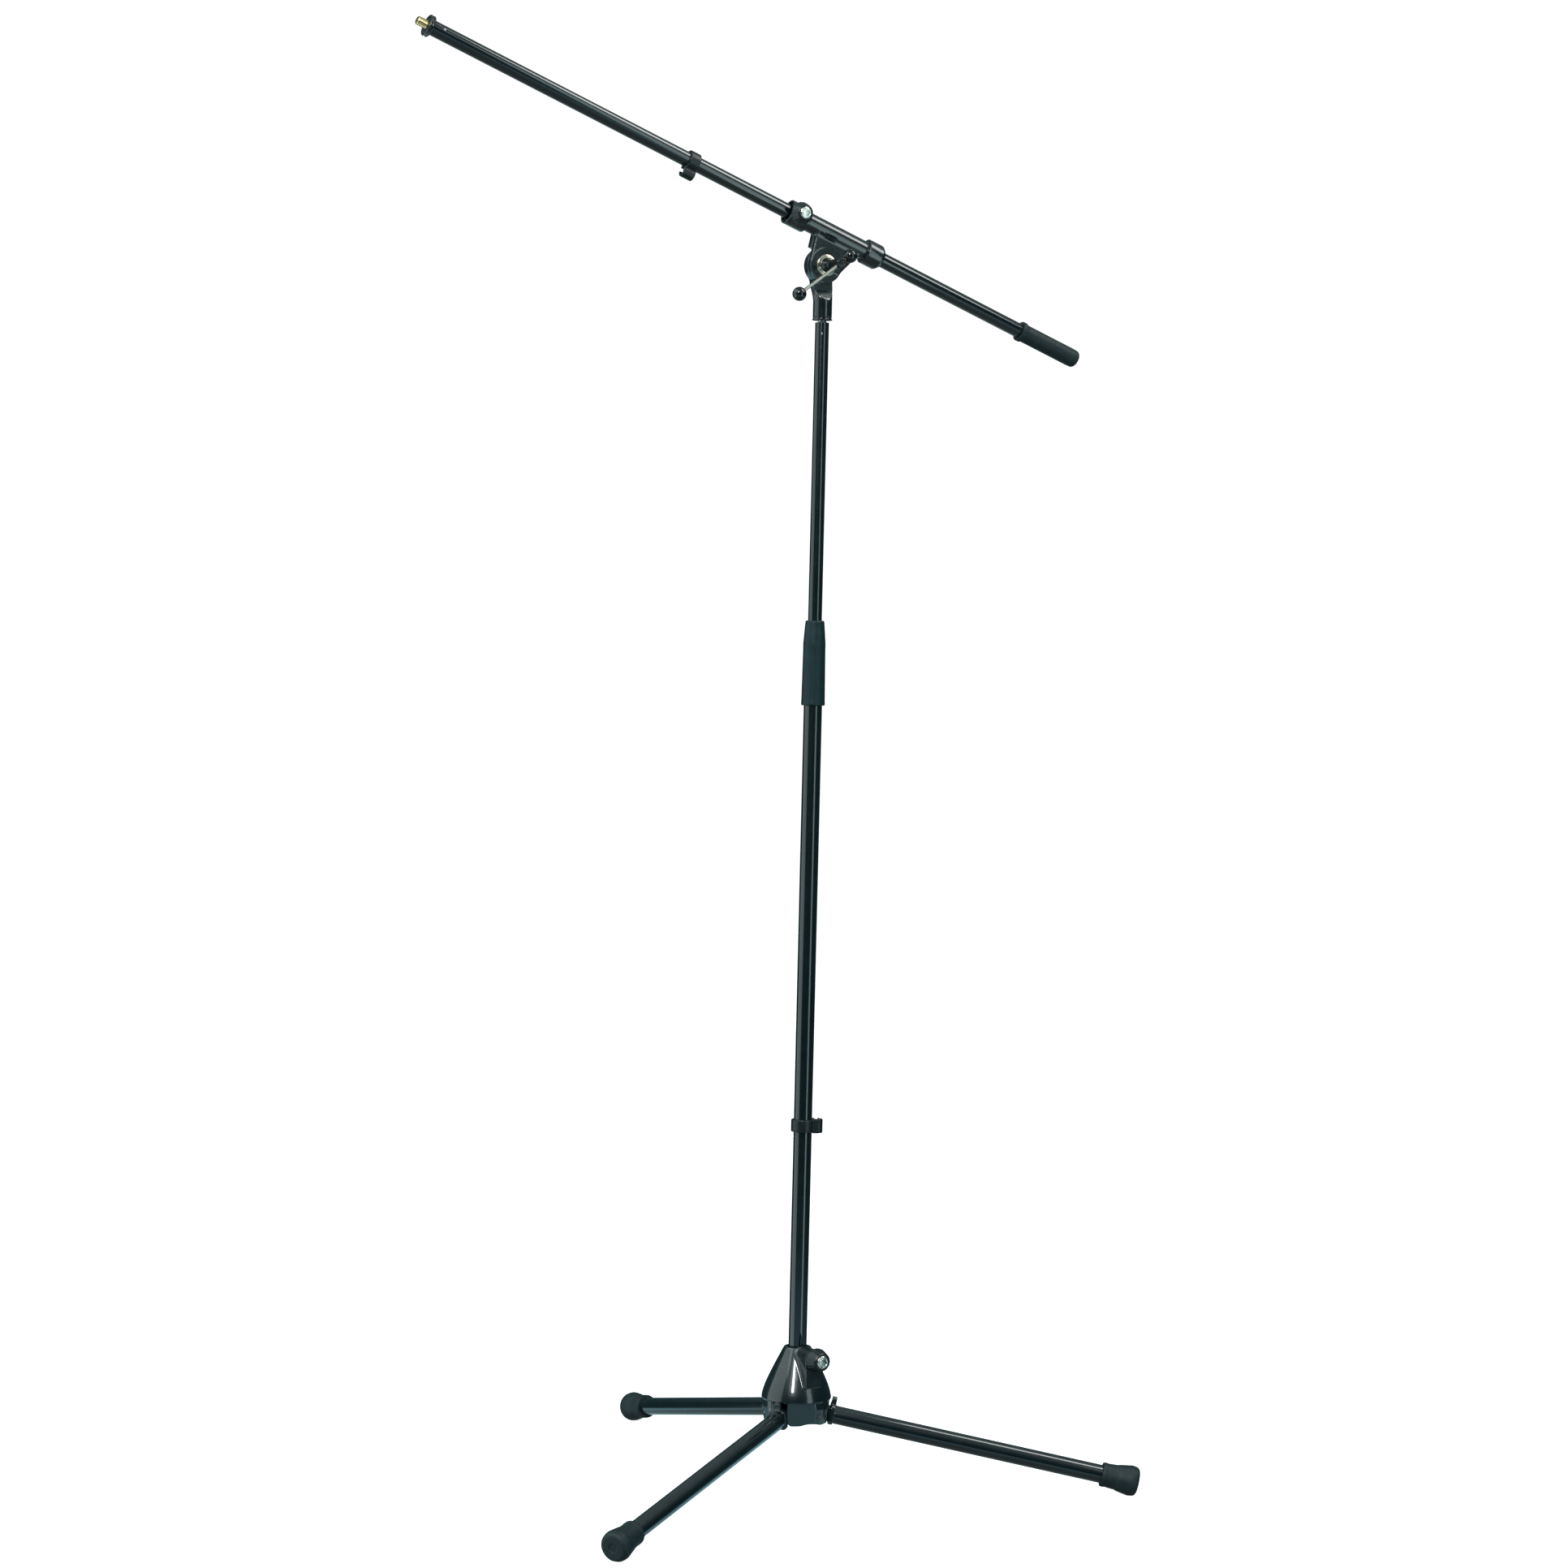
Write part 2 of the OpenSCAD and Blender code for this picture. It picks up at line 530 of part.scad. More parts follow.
// Pad with its inner end hollowed to the boom
module boom_clamp_pad() color(dark_grey) difference() {
  clamp_knob_frame() xcyl(6, 11.3, 4);
  sleeve_frame() xcyl(-80, 0, boom_r + face);
}
module rear_collar() color([0.05, 0.06, 0.065]) sleeve_frame() difference() {
  xturn([[sleeve_rear, 0], [sleeve_rear, 9.6], [sleeve_rear + 1.6, 9.6],
    [sleeve_rear + 1.6, 13], [sleeve_rear + 2.2, 13.7], [collar_rear - 4.6, 13.7],
    [collar_rear - 3.4, 13], [collar_rear, 9.6], [collar_rear, 0]]);
  xcyl(0, 80, boom_r + run);
}

// ------------------------------------------------------------------- boom
front_crimp_r = 1.2;
front_relief_r = stud_r - 0.4; // front stud under the jam ring
boom_grip_len = 80;
boom_grip_end = 4;             // solid end of the grip, beyond the tube

// Y along the front crimp pin, which lies on the -Y side
module front_crimp_frame() translate([-boom_front + 12, 0, 0]) rotate([-14, 0, 0]) children();
module boom_rod() color(tube_black) boom_frame() difference() {
  xcyl(-boom_front, boom_rear - boom_grip_end, boom_r);
  xcyl(-boom_front - 1, boom_rear, boom_bore_r);
  front_crimp_frame() ycyl(-20, -2, front_crimp_r);
}
module front_stud() color([0.8, 0.65, 0.35]) boom_frame() difference() {
  union() {
    xcyl(-boom_front, -boom_front + 28, boom_bore_r);
    // free thread, then the relief under the jam ring
    xturn([[-boom_front - 16.6, 0], [-boom_front - 16.6, stud_r - 1.1],
      [-boom_front - 15.6, stud_r], [-boom_front - 5.6, stud_r],
      [-boom_front - 5.6, front_relief_r], [-boom_front, front_relief_r],
      [-boom_front, 0]]);
  }
  front_crimp_frame() ycyl(-20, -boom_bore_r + crimp_in, front_crimp_r);
}
module front_lock_ring() color(ring_black) boom_frame()
  translate([-boom_front - face, 0, 0]) rotate([0, -90, 0]) lock_ring(thick = 5.4, outer_r = 11.8);
// Small pin that locks the stud in the boom tube
module front_crimp_pin() color(silver) boom_frame() front_crimp_frame()
  ycyl(-boom_r - 0.25, -boom_bore_r + crimp_in, front_crimp_r);
// Collar at the front, plain body, domed rear end
module boom_grip() color([0.04, 0.045, 0.05]) boom_frame()
  translate([boom_rear - boom_grip_len, 0, 0]) difference() {
    xturn(concat([[0, 0], [0, 10.5], [0.8, 11.2], [4.6, 11.2], [5.2, 10.5], [6.2, 10]],
      [for (i = [0:6]) [8 + 10 * i, 10]],
      [for (a = [10:10:90]) [72.5 + 7.5 * sin(a), 3.6 + 6.4 * cos(a)]],
      [[boom_grip_len, 0]]));
    xcyl(-1, boom_grip_len - boom_grip_end, boom_r);
  }
// The hook hangs below the boom
module boom_cable_clip() color(clip_black) boom_frame()
  translate([-boom_clip_t, 0, 0]) rotate([0, 90, 0])
    cable_clip(tube_r = boom_r, wall = 2.7, height = 12);

base_casting();
leg_pivot_pins();
leg_1_hinge_block();
leg_1_tube();
leg_1_foot();
leg_2_hinge_block();
leg_2_tube();
leg_2_foot();
leg_3_hinge_block();
leg_3_tube();
leg_3_foot();
base_knob();
base_knob_cap();
base_clamp_screw();
base_pressure_pad();
lower_tube();
lower_tube_plug();
clutch_body();
clutch_collet();
clutch_grip();
pole_cable_clip();
tube_guide_bush();
upper_tube();
top_stud();
top_lock_ring();
swivel_socket();
swivel_head();
friction_disc();
pivot_bolt();
pivot_washer();
t_handle_hub();
t_bar_rod();
t_bar_balls();
boom_liner();
boom_clamp();
boom_clamp_knob();
boom_clamp_knob_cap();
boom_clamp_screw();
boom_clamp_pad();
rear_collar();
boom_rod();
front_stud();
front_lock_ring();
top_crimp_pin();
front_crimp_pin();
boom_grip();
boom_cable_clip();
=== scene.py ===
"""Boom stand: three folding legs under a domed base, a telescopic pole, a swivel
head and a boom with a grip at one end and a threaded stud at the other.

Row frame: metres, floor at z = 0, the pole on the Z axis, the boom in the XZ plane.
Pieces are drawn in millimetres in their own frames, and turned pieces about local X.
"""
import json
import math

import bpy
import numpy as np
from mathutils import Matrix, Vector


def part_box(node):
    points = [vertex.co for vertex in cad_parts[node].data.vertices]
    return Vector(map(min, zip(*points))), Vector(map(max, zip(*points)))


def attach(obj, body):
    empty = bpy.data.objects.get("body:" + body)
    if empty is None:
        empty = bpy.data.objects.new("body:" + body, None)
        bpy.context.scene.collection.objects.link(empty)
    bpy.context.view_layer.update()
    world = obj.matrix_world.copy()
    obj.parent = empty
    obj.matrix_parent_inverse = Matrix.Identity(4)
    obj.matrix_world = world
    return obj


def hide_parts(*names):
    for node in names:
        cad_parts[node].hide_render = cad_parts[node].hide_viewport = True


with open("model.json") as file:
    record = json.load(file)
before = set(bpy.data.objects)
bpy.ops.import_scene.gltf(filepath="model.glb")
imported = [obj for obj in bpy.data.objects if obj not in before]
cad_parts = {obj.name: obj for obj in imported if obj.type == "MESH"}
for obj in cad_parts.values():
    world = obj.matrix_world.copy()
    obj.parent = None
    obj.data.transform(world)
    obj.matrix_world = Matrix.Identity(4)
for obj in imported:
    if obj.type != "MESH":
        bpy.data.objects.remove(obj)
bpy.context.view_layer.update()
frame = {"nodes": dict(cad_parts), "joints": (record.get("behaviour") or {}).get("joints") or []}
JOINT = {joint["name"]: joint for joint in frame["joints"]}
NODES = frame["nodes"]


# ------------------------------------------------------------------ frames
# A frame is a 4x4 matrix that takes local metres to the row frame.
def basis(origin, x, z):
    """Frame with X along x and Z as near to z as it can be."""
    x = np.array(x, float)
    x /= np.linalg.norm(x)
    z = np.array(z, float)
    z = z - x * (z @ x)
    z /= np.linalg.norm(z)
    matrix = np.eye(4)
    matrix[:3, 0], matrix[:3, 1], matrix[:3, 2] = x, np.cross(z, x), z
    matrix[:3, 3] = np.array(origin, float)
    return matrix


def local(matrix, x=0.0, y=0.0, z=0.0):
    """A frame shifted in its own axes, in millimetres."""
    shift = np.eye(4)
    shift[:3, 3] = np.array([x, y, z]) / 1000
    return matrix @ shift


def turned(matrix, axis, degrees):
    return matrix @ np.array(Matrix.Rotation(math.radians(degrees), 4, axis))


def joint_pos(name):
    return np.array(JOINT[name]["pos_m"], float)


def joint_axis(name):
    return np.array(JOINT[name]["axis"], float)


def height_span(node_name):
    """Lowest and highest z of a CAD node, in millimetres."""
    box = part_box(node_name)
    return box[0].z * 1000, box[1].z * 1000


X_DIR, Z_DIR = (1, 0, 0), (0, 0, 1)
PIVOT_AT = joint_pos("tilt")
BOOM_DIR = joint_axis("boom_slide")
BOOM_UP = np.array([BOOM_DIR[2], 0, -BOOM_DIR[0]])
ON_BOOM = joint_pos("boom_roll")
BOOM_OFF = float((ON_BOOM - PIVOT_AT) @ BOOM_UP) * 1000  # boom axis above the pivot
BOOM_KNOB_AT = joint_pos("boom_knob_turn")
BOOM_KNOB_AT[1] = 0

HEAD = basis(PIVOT_AT, -BOOM_DIR, BOOM_UP)
BOOM = basis(ON_BOOM + BOOM_DIR * (ON_BOOM[0] / -BOOM_DIR[0]), -BOOM_DIR, BOOM_UP)
PIVOT = basis(PIVOT_AT, X_DIR, Z_DIR)
HANDLE = basis(PIVOT_AT, (0, -1, 0), Z_DIR)  # X runs out along the pivot bolt
POLE = basis((0, 0, 0), Z_DIR, X_DIR)  # X is the pole's axis
BASE_KNOB = basis(joint_pos("base_knob_turn"), joint_axis("base_knob_turn"), Z_DIR)
BOOM_KNOB = basis(BOOM_KNOB_AT, (0, -1, 0), BOOM_UP)

LEG_SLOPE = math.radians(11.5)
LEGS, LEG_ANGLES = [], []
for i in (1, 2, 3):
    hinge_axis = joint_axis(f"leg_{i}_fold")
    outward = np.array([hinge_axis[1], -hinge_axis[0], 0])
    along = outward * math.cos(LEG_SLOPE) - np.array([0, 0, 1]) * math.sin(LEG_SLOPE)
    LEGS.append(basis(joint_pos(f"leg_{i}_fold"), along, Z_DIR))
    LEG_ANGLES.append(math.atan2(-hinge_axis[0], hinge_axis[1]))

LOWER_Z0, LOWER_Z1 = height_span("lower_tube")
UPPER_Z0, UPPER_Z1 = height_span("upper_tube")
GRIP_TOP = height_span("clutch_grip")[1]
SOCKET_Z = height_span("swivel_socket")[0]

# Radii shared by several pieces
POLE_R, UPPER_R, BOOM_R = 10.0, 7.5, 8.0
STUD_R = 4.7625
RING_BORE = STUD_R + 0.06
THREAD_PITCH = 1.5875


# --------------------------------------------------------------- materials
def wire(tree, socket, value):
    """Link the value if it is a socket, else set it."""
    if isinstance(value, bpy.types.NodeSocket):
        tree.links.new(value, socket)
    else:
        socket.default_value = value


def feed(tree, target, **values):
    """Fill inputs by name, with _ for a space; other names are node settings."""
    for key, value in values.items():
        name = key.replace("_", " ")
        if name in target.inputs:
            wire(tree, target.inputs[name], value)
        else:
            setattr(target, key, value)


def node(tree, kind, **values):
    made = tree.nodes.new("ShaderNode" + kind)
    feed(tree, made, **values)
    return made


def fill(tree, target, *values):
    """Fill inputs in their order; returns the first output."""
    for socket, value in zip(target.inputs, values):
        wire(tree, socket, value)
    return target.outputs[0]


def coords(tree, space="Object"):
    return node(tree, "TexCoord").outputs[space]


def noise(tree, place, scale, detail=4.0, rough=0.55):
    made = node(tree, "TexNoise", Scale=scale, Detail=detail, Roughness=rough, Vector=place)
    return made.outputs["Fac"]


def rgba(color):
    if isinstance(color, (int, float)):
        return (color, color, color, 1)
    return (*color, 1)


def ramp(tree, fac, stops):
    """Colour ramp over (position, grey or colour) stops."""
    made = node(tree, "ValToRGB", Fac=fac)
    elements = made.color_ramp.elements
    while len(elements) > 1:
        elements.remove(elements[-1])
    elements[0].position, elements[0].color = stops[0][0], rgba(stops[0][1])
    for position, color in stops[1:]:
        elements.new(position).color = rgba(color)
    return made.outputs["Color"]


def mottle(tree, fac, base, dark, light, edge=0.3):
    """The base colour wandering between dark and light multiples of itself."""
    low = tuple(c * dark for c in base)
    high = tuple(min(1, c * light) for c in base)
    return ramp(tree, fac, [(edge, low), (1 - edge, high)])


def calc(tree, operation, *values):
    return fill(tree, node(tree, "Math", operation=operation), *values)


def scaled(tree, value, gain, base):
    return calc(tree, "MULTIPLY_ADD", value, gain, base)


def bump(tree, height, strength, distance, under=None):
    made = node(tree, "Bump", Strength=strength, Distance=distance, Height=height)
    if under is not None:
        feed(tree, made, Normal=under)
    return made.outputs["Normal"]


def new_look(name):
    mat = bpy.data.materials.new("look_" + name)
    mat["look"] = name
    mat.use_nodes = True
    tree = mat.node_tree
    tree.nodes.clear()
    output = node(tree, "OutputMaterial")
    shader = node(tree, "BsdfPrincipled")
    tree.links.new(shader.outputs[0], output.inputs[0])
    return mat, tree, shader


def enamel(name, base=(0.0030, 0.0075, 0.0090), cast=0.0, axis=0):
    """Black stove enamel with a cool cast: fine orange peel, faint handling
    marks along one axis, and a coarser skin as cast nears 1."""
    mat, tree, shader = new_look(name)
    place = coords(tree)
    feed(tree, shader, Base_Color=rgba(base))  # stays as the value under the link
    patches = noise(tree, place, scale=55, detail=3)
    feed(tree, shader, Base_Color=mottle(tree, patches, base, dark=0.72, light=1.35))
    stretch = [1.0, 1.0, 1.0]
    stretch[axis] = 0.06
    seed = 3.1
    shifted = node(tree, "Mapping", Scale=stretch, Vector=place,
                   Location=(seed, seed * 0.7, seed * 1.3)).outputs["Vector"]
    lines = noise(tree, shifted, scale=900, detail=3.0, rough=0.6)
    marks = ramp(tree, lines, [(0.60, 0.0), (0.74, 1.0)])
    rough = scaled(tree, noise(tree, place, scale=120), gain=0.10, base=0.16 + 0.06 * cast)
    feed(tree, shader, Roughness=scaled(tree, marks, gain=0.05, base=rough))
    peel = noise(tree, place, scale=420 if cast else 620, detail=2.5, rough=0.5)
    fine = bump(tree, peel, strength=0.08 + 0.07 * cast, distance=0.00012 + 0.00004 * cast)
    swell = noise(tree, place, scale=60, detail=2)
    normal = bump(tree, swell, strength=0.04 + 0.04 * cast, distance=0.0005, under=fine)
    feed(tree, shader, Normal=normal, Specular_IOR_Level=0.40, Coat_Weight=1.0,
         Coat_Roughness=0.05, Coat_IOR=1.5)
    return mat


def plastic(name, base, rough, grain, strength, dist=0.00012, spec=0.45):
    """Moulded plastic with a fine spark-eroded grain and flow mottling."""
    mat, tree, shader = new_look(name)
    place = coords(tree)
    flow = noise(tree, place, scale=90)
    feed(tree, shader, Base_Color=mottle(tree, flow, base, dark=0.75, light=1.3, edge=0.32))
    blotch = noise(tree, place, scale=260)
    feed(tree, shader, Roughness=scaled(tree, blotch, gain=0.18, base=rough - 0.09))
    fine = bump(tree, noise(tree, place, scale=grain, detail=3, rough=0.6), strength, dist)
    swell = noise(tree, place, scale=grain * 0.22, detail=2)
    normal = bump(tree, swell, strength * 0.4, dist * 2.5, under=fine)
    feed(tree, shader, Normal=normal, Specular_IOR_Level=spec)
    return mat


def metal(name, base, rough, rings=False):
    """Plated or bare metal; rings adds fine lathe rings about local X."""
    grain, ring_pitch = 1500, 0.00045
    mat, tree, shader = new_look(name)
    place = coords(tree)
    cloud = noise(tree, place, scale=200, detail=5)
    feed(tree, shader, Metallic=1.0,
         Base_Color=mottle(tree, cloud, base, dark=0.86, light=1.0))
    speck = noise(tree, place, scale=grain)
    feed(tree, shader, Roughness=scaled(tree, speck, gain=0.12, base=rough))
    fine = noise(tree, place, scale=grain, detail=3)
    normal = bump(tree, fine, strength=0.08, distance=0.00005)
    if rings:
        part = node(tree, "SeparateXYZ", Vector=place).outputs
        squares = [calc(tree, "MULTIPLY", part[axis], part[axis]) for axis in "YZ"]
        radius = calc(tree, "SQRT", calc(tree, "ADD", *squares))
        wave = calc(tree, "SINE", calc(tree, "MULTIPLY", radius, 2 * math.pi / ring_pitch))
        normal = bump(tree, wave, strength=0.12, distance=0.00004, under=normal)
    feed(tree, shader, Normal=normal)
    return mat


M_TUBE = enamel("enamel_tube")
M_CAST = enamel("enamel_cast", base=(0.0034, 0.0085, 0.0100), cast=1.0, axis=2)
M_RING = enamel("enamel_ring", base=(0.0030, 0.0045, 0.0050), cast=0.4)
M_PLASTIC = plastic("moulded_black", base=(0.0045, 0.0095, 0.0110), rough=0.36, grain=900,
                    strength=0.22)
M_GRIP = plastic("grip_black", base=(0.0035, 0.0200, 0.0250), rough=0.46, grain=700,
                 strength=0.30, spec=0.3)
M_RUBBER = plastic("soft_black", base=(0.0085, 0.0185, 0.0210), rough=0.55, grain=520,
                   strength=0.34, dist=0.00018, spec=0.35)
M_BALL = plastic("ball_black", base=(0.005, 0.006, 0.0065), rough=0.12, grain=400,
                 strength=0.04, dist=0.00005, spec=0.6)
M_HUB = plastic("hub_black", base=(0.006, 0.0075, 0.008), rough=0.20, grain=800,
                strength=0.10, dist=0.00008, spec=0.55)
M_CHROME = metal("bright_plate", base=(0.90, 0.87, 0.80), rough=0.13, rings=True)
M_ROD = metal("rod_steel", base=(0.80, 0.68, 0.56), rough=0.17)
M_ZINC = metal("zinc_steel", base=(0.58, 0.59, 0.60), rough=0.28)
M_PIN = metal("zinc_pin", base=(0.20, 0.21, 0.21), rough=0.42)
M_BRASS = metal("brass_stud", base=(0.74, 0.57, 0.30), rough=0.20)
M_IVORY = plastic("ivory_nylon", base=(0.62, 0.60, 0.54), rough=0.45, grain=600,
                  strength=0.15)
M_FIBRE = plastic("fibre_disc", base=(0.20, 0.14, 0.09), rough=0.75, grain=500,
                  strength=0.5)


# ---------------------------------------------------------------- placing
def mesh_of(name, points, faces, normals=None, sharp=38):
    """A closed mesh from points in millimetres and faces of 3 or 4 corners."""
    points = np.asarray(points, float) / 1000
    faces = faces.tolist() if isinstance(faces, np.ndarray) else faces
    corners = [tuple(face[:3]) for face in faces]
    corners += [(face[0], face[2], face[3]) for face in faces if len(face) == 4]
    first, second, third = points[np.array(corners)].transpose(1, 0, 2)
    if (first * np.cross(second, third)).sum() < 0:  # inside out
        faces = [face[::-1] for face in faces]
    mesh = bpy.data.meshes.new(name)
    mesh.from_pydata(points.tolist(), [], faces)
    mesh.validate()
    mesh.polygons.foreach_set("use_smooth", [True] * len(mesh.polygons))
    if normals is None:
        mesh.set_sharp_from_angle(angle=math.radians(sharp))
    mesh.update()
    if normals is not None:
        mesh.normals_split_custom_set_from_vertices(normals.tolist())
    return mesh


def place(name, mesh, mat, body, part, matrix):
    """Put a mesh on a moving body, in place of a CAD part."""
    made = bpy.data.objects.new(name, mesh)
    bpy.context.scene.collection.objects.link(made)
    if not mesh.materials:
        mesh.materials.append(mat)
    made.matrix_world = Matrix(matrix.tolist())
    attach(made, body)
    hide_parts(part)


def keep(part, mat):
    """A CAD part that stays, with its own material."""
    kept = NODES[part]
    kept.data.materials.clear()
    kept.data.materials.append(mat)


# ----------------------------------------------------------- turned pieces
# A profile is a list of (x, radius) or (x, radius, fillet).
def shift_x(start, profile):
    return [(start + x, *rest) for x, *rest in profile]


def rounded(profile, closed, steps):
    """Profile points with each fillet drawn as an arc."""
    points = [np.array(row[:2], float) for row in profile]
    fillets = [row[2] if len(row) > 2 else 0.0 for row in profile]
    out = []
    count = len(points)
    for i in range(count):
        corner = points[i]
        if fillets[i] <= 0 or (not closed and i in (0, count - 1)):
            out.append(tuple(corner))
            continue
        before, after = points[i - 1] - corner, points[(i + 1) % count] - corner
        len_before, len_after = np.linalg.norm(before), np.linalg.norm(after)
        before, after = before / len_before, after / len_after
        angle = math.acos(max(-1, min(1, float(before @ after))))
        if angle > math.pi - 1e-3:
            out.append(tuple(corner))
            continue
        trim = min(fillets[i] / math.tan(angle / 2), 0.48 * len_before, 0.48 * len_after)
        radius = trim * math.tan(angle / 2)
        middle = (before + after) / np.linalg.norm(before + after)
        centre = corner + middle * (radius / math.sin(angle / 2))
        start = math.atan2(*(corner + before * trim - centre)[::-1])
        end = math.atan2(*(corner + after * trim - centre)[::-1])
        sweep = (end - start + math.pi) % (2 * math.pi) - math.pi
        for j in range(steps + 1):
            turn_to = start + sweep * j / steps
            out.append((centre[0] + radius * math.cos(turn_to),
                        centre[1] + radius * math.sin(turn_to)))
    return out


def subdivided(points, closed, longest):
    """Points with extra ones wherever a side is longer than the limit."""
    out = []
    count = len(points)
    for i in range(count if closed else count - 1):
        start, end = np.array(points[i]), np.array(points[(i + 1) % count])
        parts = max(1, int(math.ceil(np.linalg.norm(end - start) / longest)))
        out += [tuple(start + (end - start) * j / parts) for j in range(parts)]
    return out if closed else out + [points[-1]]


def turn(profile, seg=96, closed=True, steps=6, shape=None, dense=None):
    """Solid of revolution about local X. An open profile starts and ends on
    the axis. shape(x, angles, radius) changes the radius around a ring."""
    line = rounded(profile, closed, steps)
    if dense:
        line = subdivided(line, closed, dense)
    angles = np.linspace(0, 2 * math.pi, seg, endpoint=False)
    points, faces, rings = [], [], []
    for i, (x, radius) in enumerate(line):
        if not closed and i in (0, len(line) - 1):
            rings.append([len(points)])
            points.append((x, 0, 0))
            continue
        radii = np.full(seg, radius) if shape is None else shape(x, angles, radius)
        rings.append(list(range(len(points), len(points) + seg)))
        points += [(x, radii[j] * math.cos(angles[j]), radii[j] * math.sin(angles[j]))
                   for j in range(seg)]
    for i in range(len(rings) if closed else len(rings) - 1):
        ring, after = rings[i], rings[(i + 1) % len(rings)]
        for j in range(seg):
            k = (j + 1) % seg
            if len(ring) == 1:
                faces.append((ring[0], after[j], after[k]))
            elif len(after) == 1:
                faces.append((ring[j], after[0], ring[k]))
            else:
                faces.append((ring[j], after[j], after[k], ring[k]))
    return np.array(points), faces


def lathe(name, mat, body, part, matrix, profile, sharp=38, **options):
    mesh = mesh_of(name, *turn(profile, **options), sharp=sharp)
    place(name, mesh, mat, body, part, matrix)


def tube(name, body, part, matrix, start, end, outer, wall_in, fillet):
    profile = [(x, r, fillet) for x, r in
               ((start, outer), (end, outer), (end, wall_in), (start, wall_in))]
    lathe(name, M_TUBE, body, part, matrix, profile, steps=4)


# ------------------------------------------------------------ cast pieces
# Fields are signed distances in millimetres, negative inside; ease is the
# width of the rounding.
def join(first, second, ease):
    blend = np.clip(0.5 + 0.5 * (second - first) / ease, 0, 1)
    return second * (1 - blend) + first * blend - ease * blend * (1 - blend)


def meet(first, second, ease):
    return -join(-first, -second, ease)


def cut(solid, tool, ease):
    return meet(solid, -tool, ease)


def rod(across, aside, along, radius, start, end, ease=0.6):
    """Cylinder: two coordinates across the axis, then the one along it."""
    ends = np.abs(along - (start + end) / 2) - (end - start) / 2
    return meet(np.hypot(across, aside) - radius, ends, ease)


def block(x, y, z, lo, hi, ease=0.6):
    solid = None
    for value, low, high in zip((x, y, z), lo, hi):
        slab = np.abs(value - (low + high) / 2) - (high - low) / 2
        solid = slab if solid is None else meet(solid, slab, ease)
    return solid


def beside(x, z, start, end):
    """Distance to the line from start to end, positive on its left."""
    run, rise = end[0] - start[0], end[1] - start[1]
    return (-(x - start[0]) * rise + (z - start[1]) * run) / math.hypot(run, rise)


def swung(x, y, angle):
    """x and y in axes turned by the angle."""
    cos, sin = math.cos(angle), math.sin(angle)
    return x * cos + y * sin, -x * sin + y * cos


# Corners of a grid cell, and its edges as pairs of corners
CORNERS = [(i, j, k) for i in (0, 1) for j in (0, 1) for k in (0, 1)]
EDGES = [(0, 1), (2, 3), (4, 5), (6, 7), (0, 2), (1, 3), (4, 6), (5, 7),
         (0, 4), (1, 5), (2, 6), (3, 7)]


def gradient(field, points, reach):
    slope = np.zeros_like(points)
    for i in range(3):
        step = np.zeros(3)
        step[i] = reach
        slope[:, i] = (field(*(points + step).T) - field(*(points - step).T)) / (2 * reach)
    return slope


def cell_points(samples, cells):
    """Mean of the edge crossings in each cell, in grid units."""
    values = [samples[cells[:, 0] + i, cells[:, 1] + j, cells[:, 2] + k].astype(float)
              for i, j, k in CORNERS]
    total, hits = np.zeros((len(cells), 3)), np.zeros(len(cells))
    for start, end in EDGES:
        low, high = values[start], values[end]
        hit = (low < 0) != (high < 0)
        part = np.where(hit, low / np.where(hit, low - high, 1), 0)
        corner = np.array(CORNERS[start], float)
        crossing = corner + (np.array(CORNERS[end], float) - corner) * part[:, None]
        total += crossing * hit[:, None]
        hits += hit
    return cells + total / hits[:, None]


def cell_quads(inside, index):
    """One quad around each grid edge that crosses the surface."""
    quads = []
    for axis in range(3):
        side, other = (axis + 1) % 3, (axis + 2) % 3
        near, far = [slice(1, -1)] * 3, [slice(1, -1)] * 3
        near[axis], far[axis] = slice(0, -1), slice(1, None)
        low, high = inside[tuple(near)], inside[tuple(far)]
        edges = np.argwhere(low != high)
        leaving = low[edges[:, 0], edges[:, 1], edges[:, 2]]
        edges[:, side] += 1
        edges[:, other] += 1
        quad = []
        for back, down in ((1, 1), (0, 1), (0, 0), (1, 0)):
            cell = edges.copy()
            cell[:, side] -= back
            cell[:, other] -= down
            quad.append(index[cell[:, 0], cell[:, 1], cell[:, 2]])
        quad = np.stack(quad, 1)
        quad[~leaving] = quad[~leaving][:, ::-1]
        quads.append(quad)
    return np.concatenate(quads)


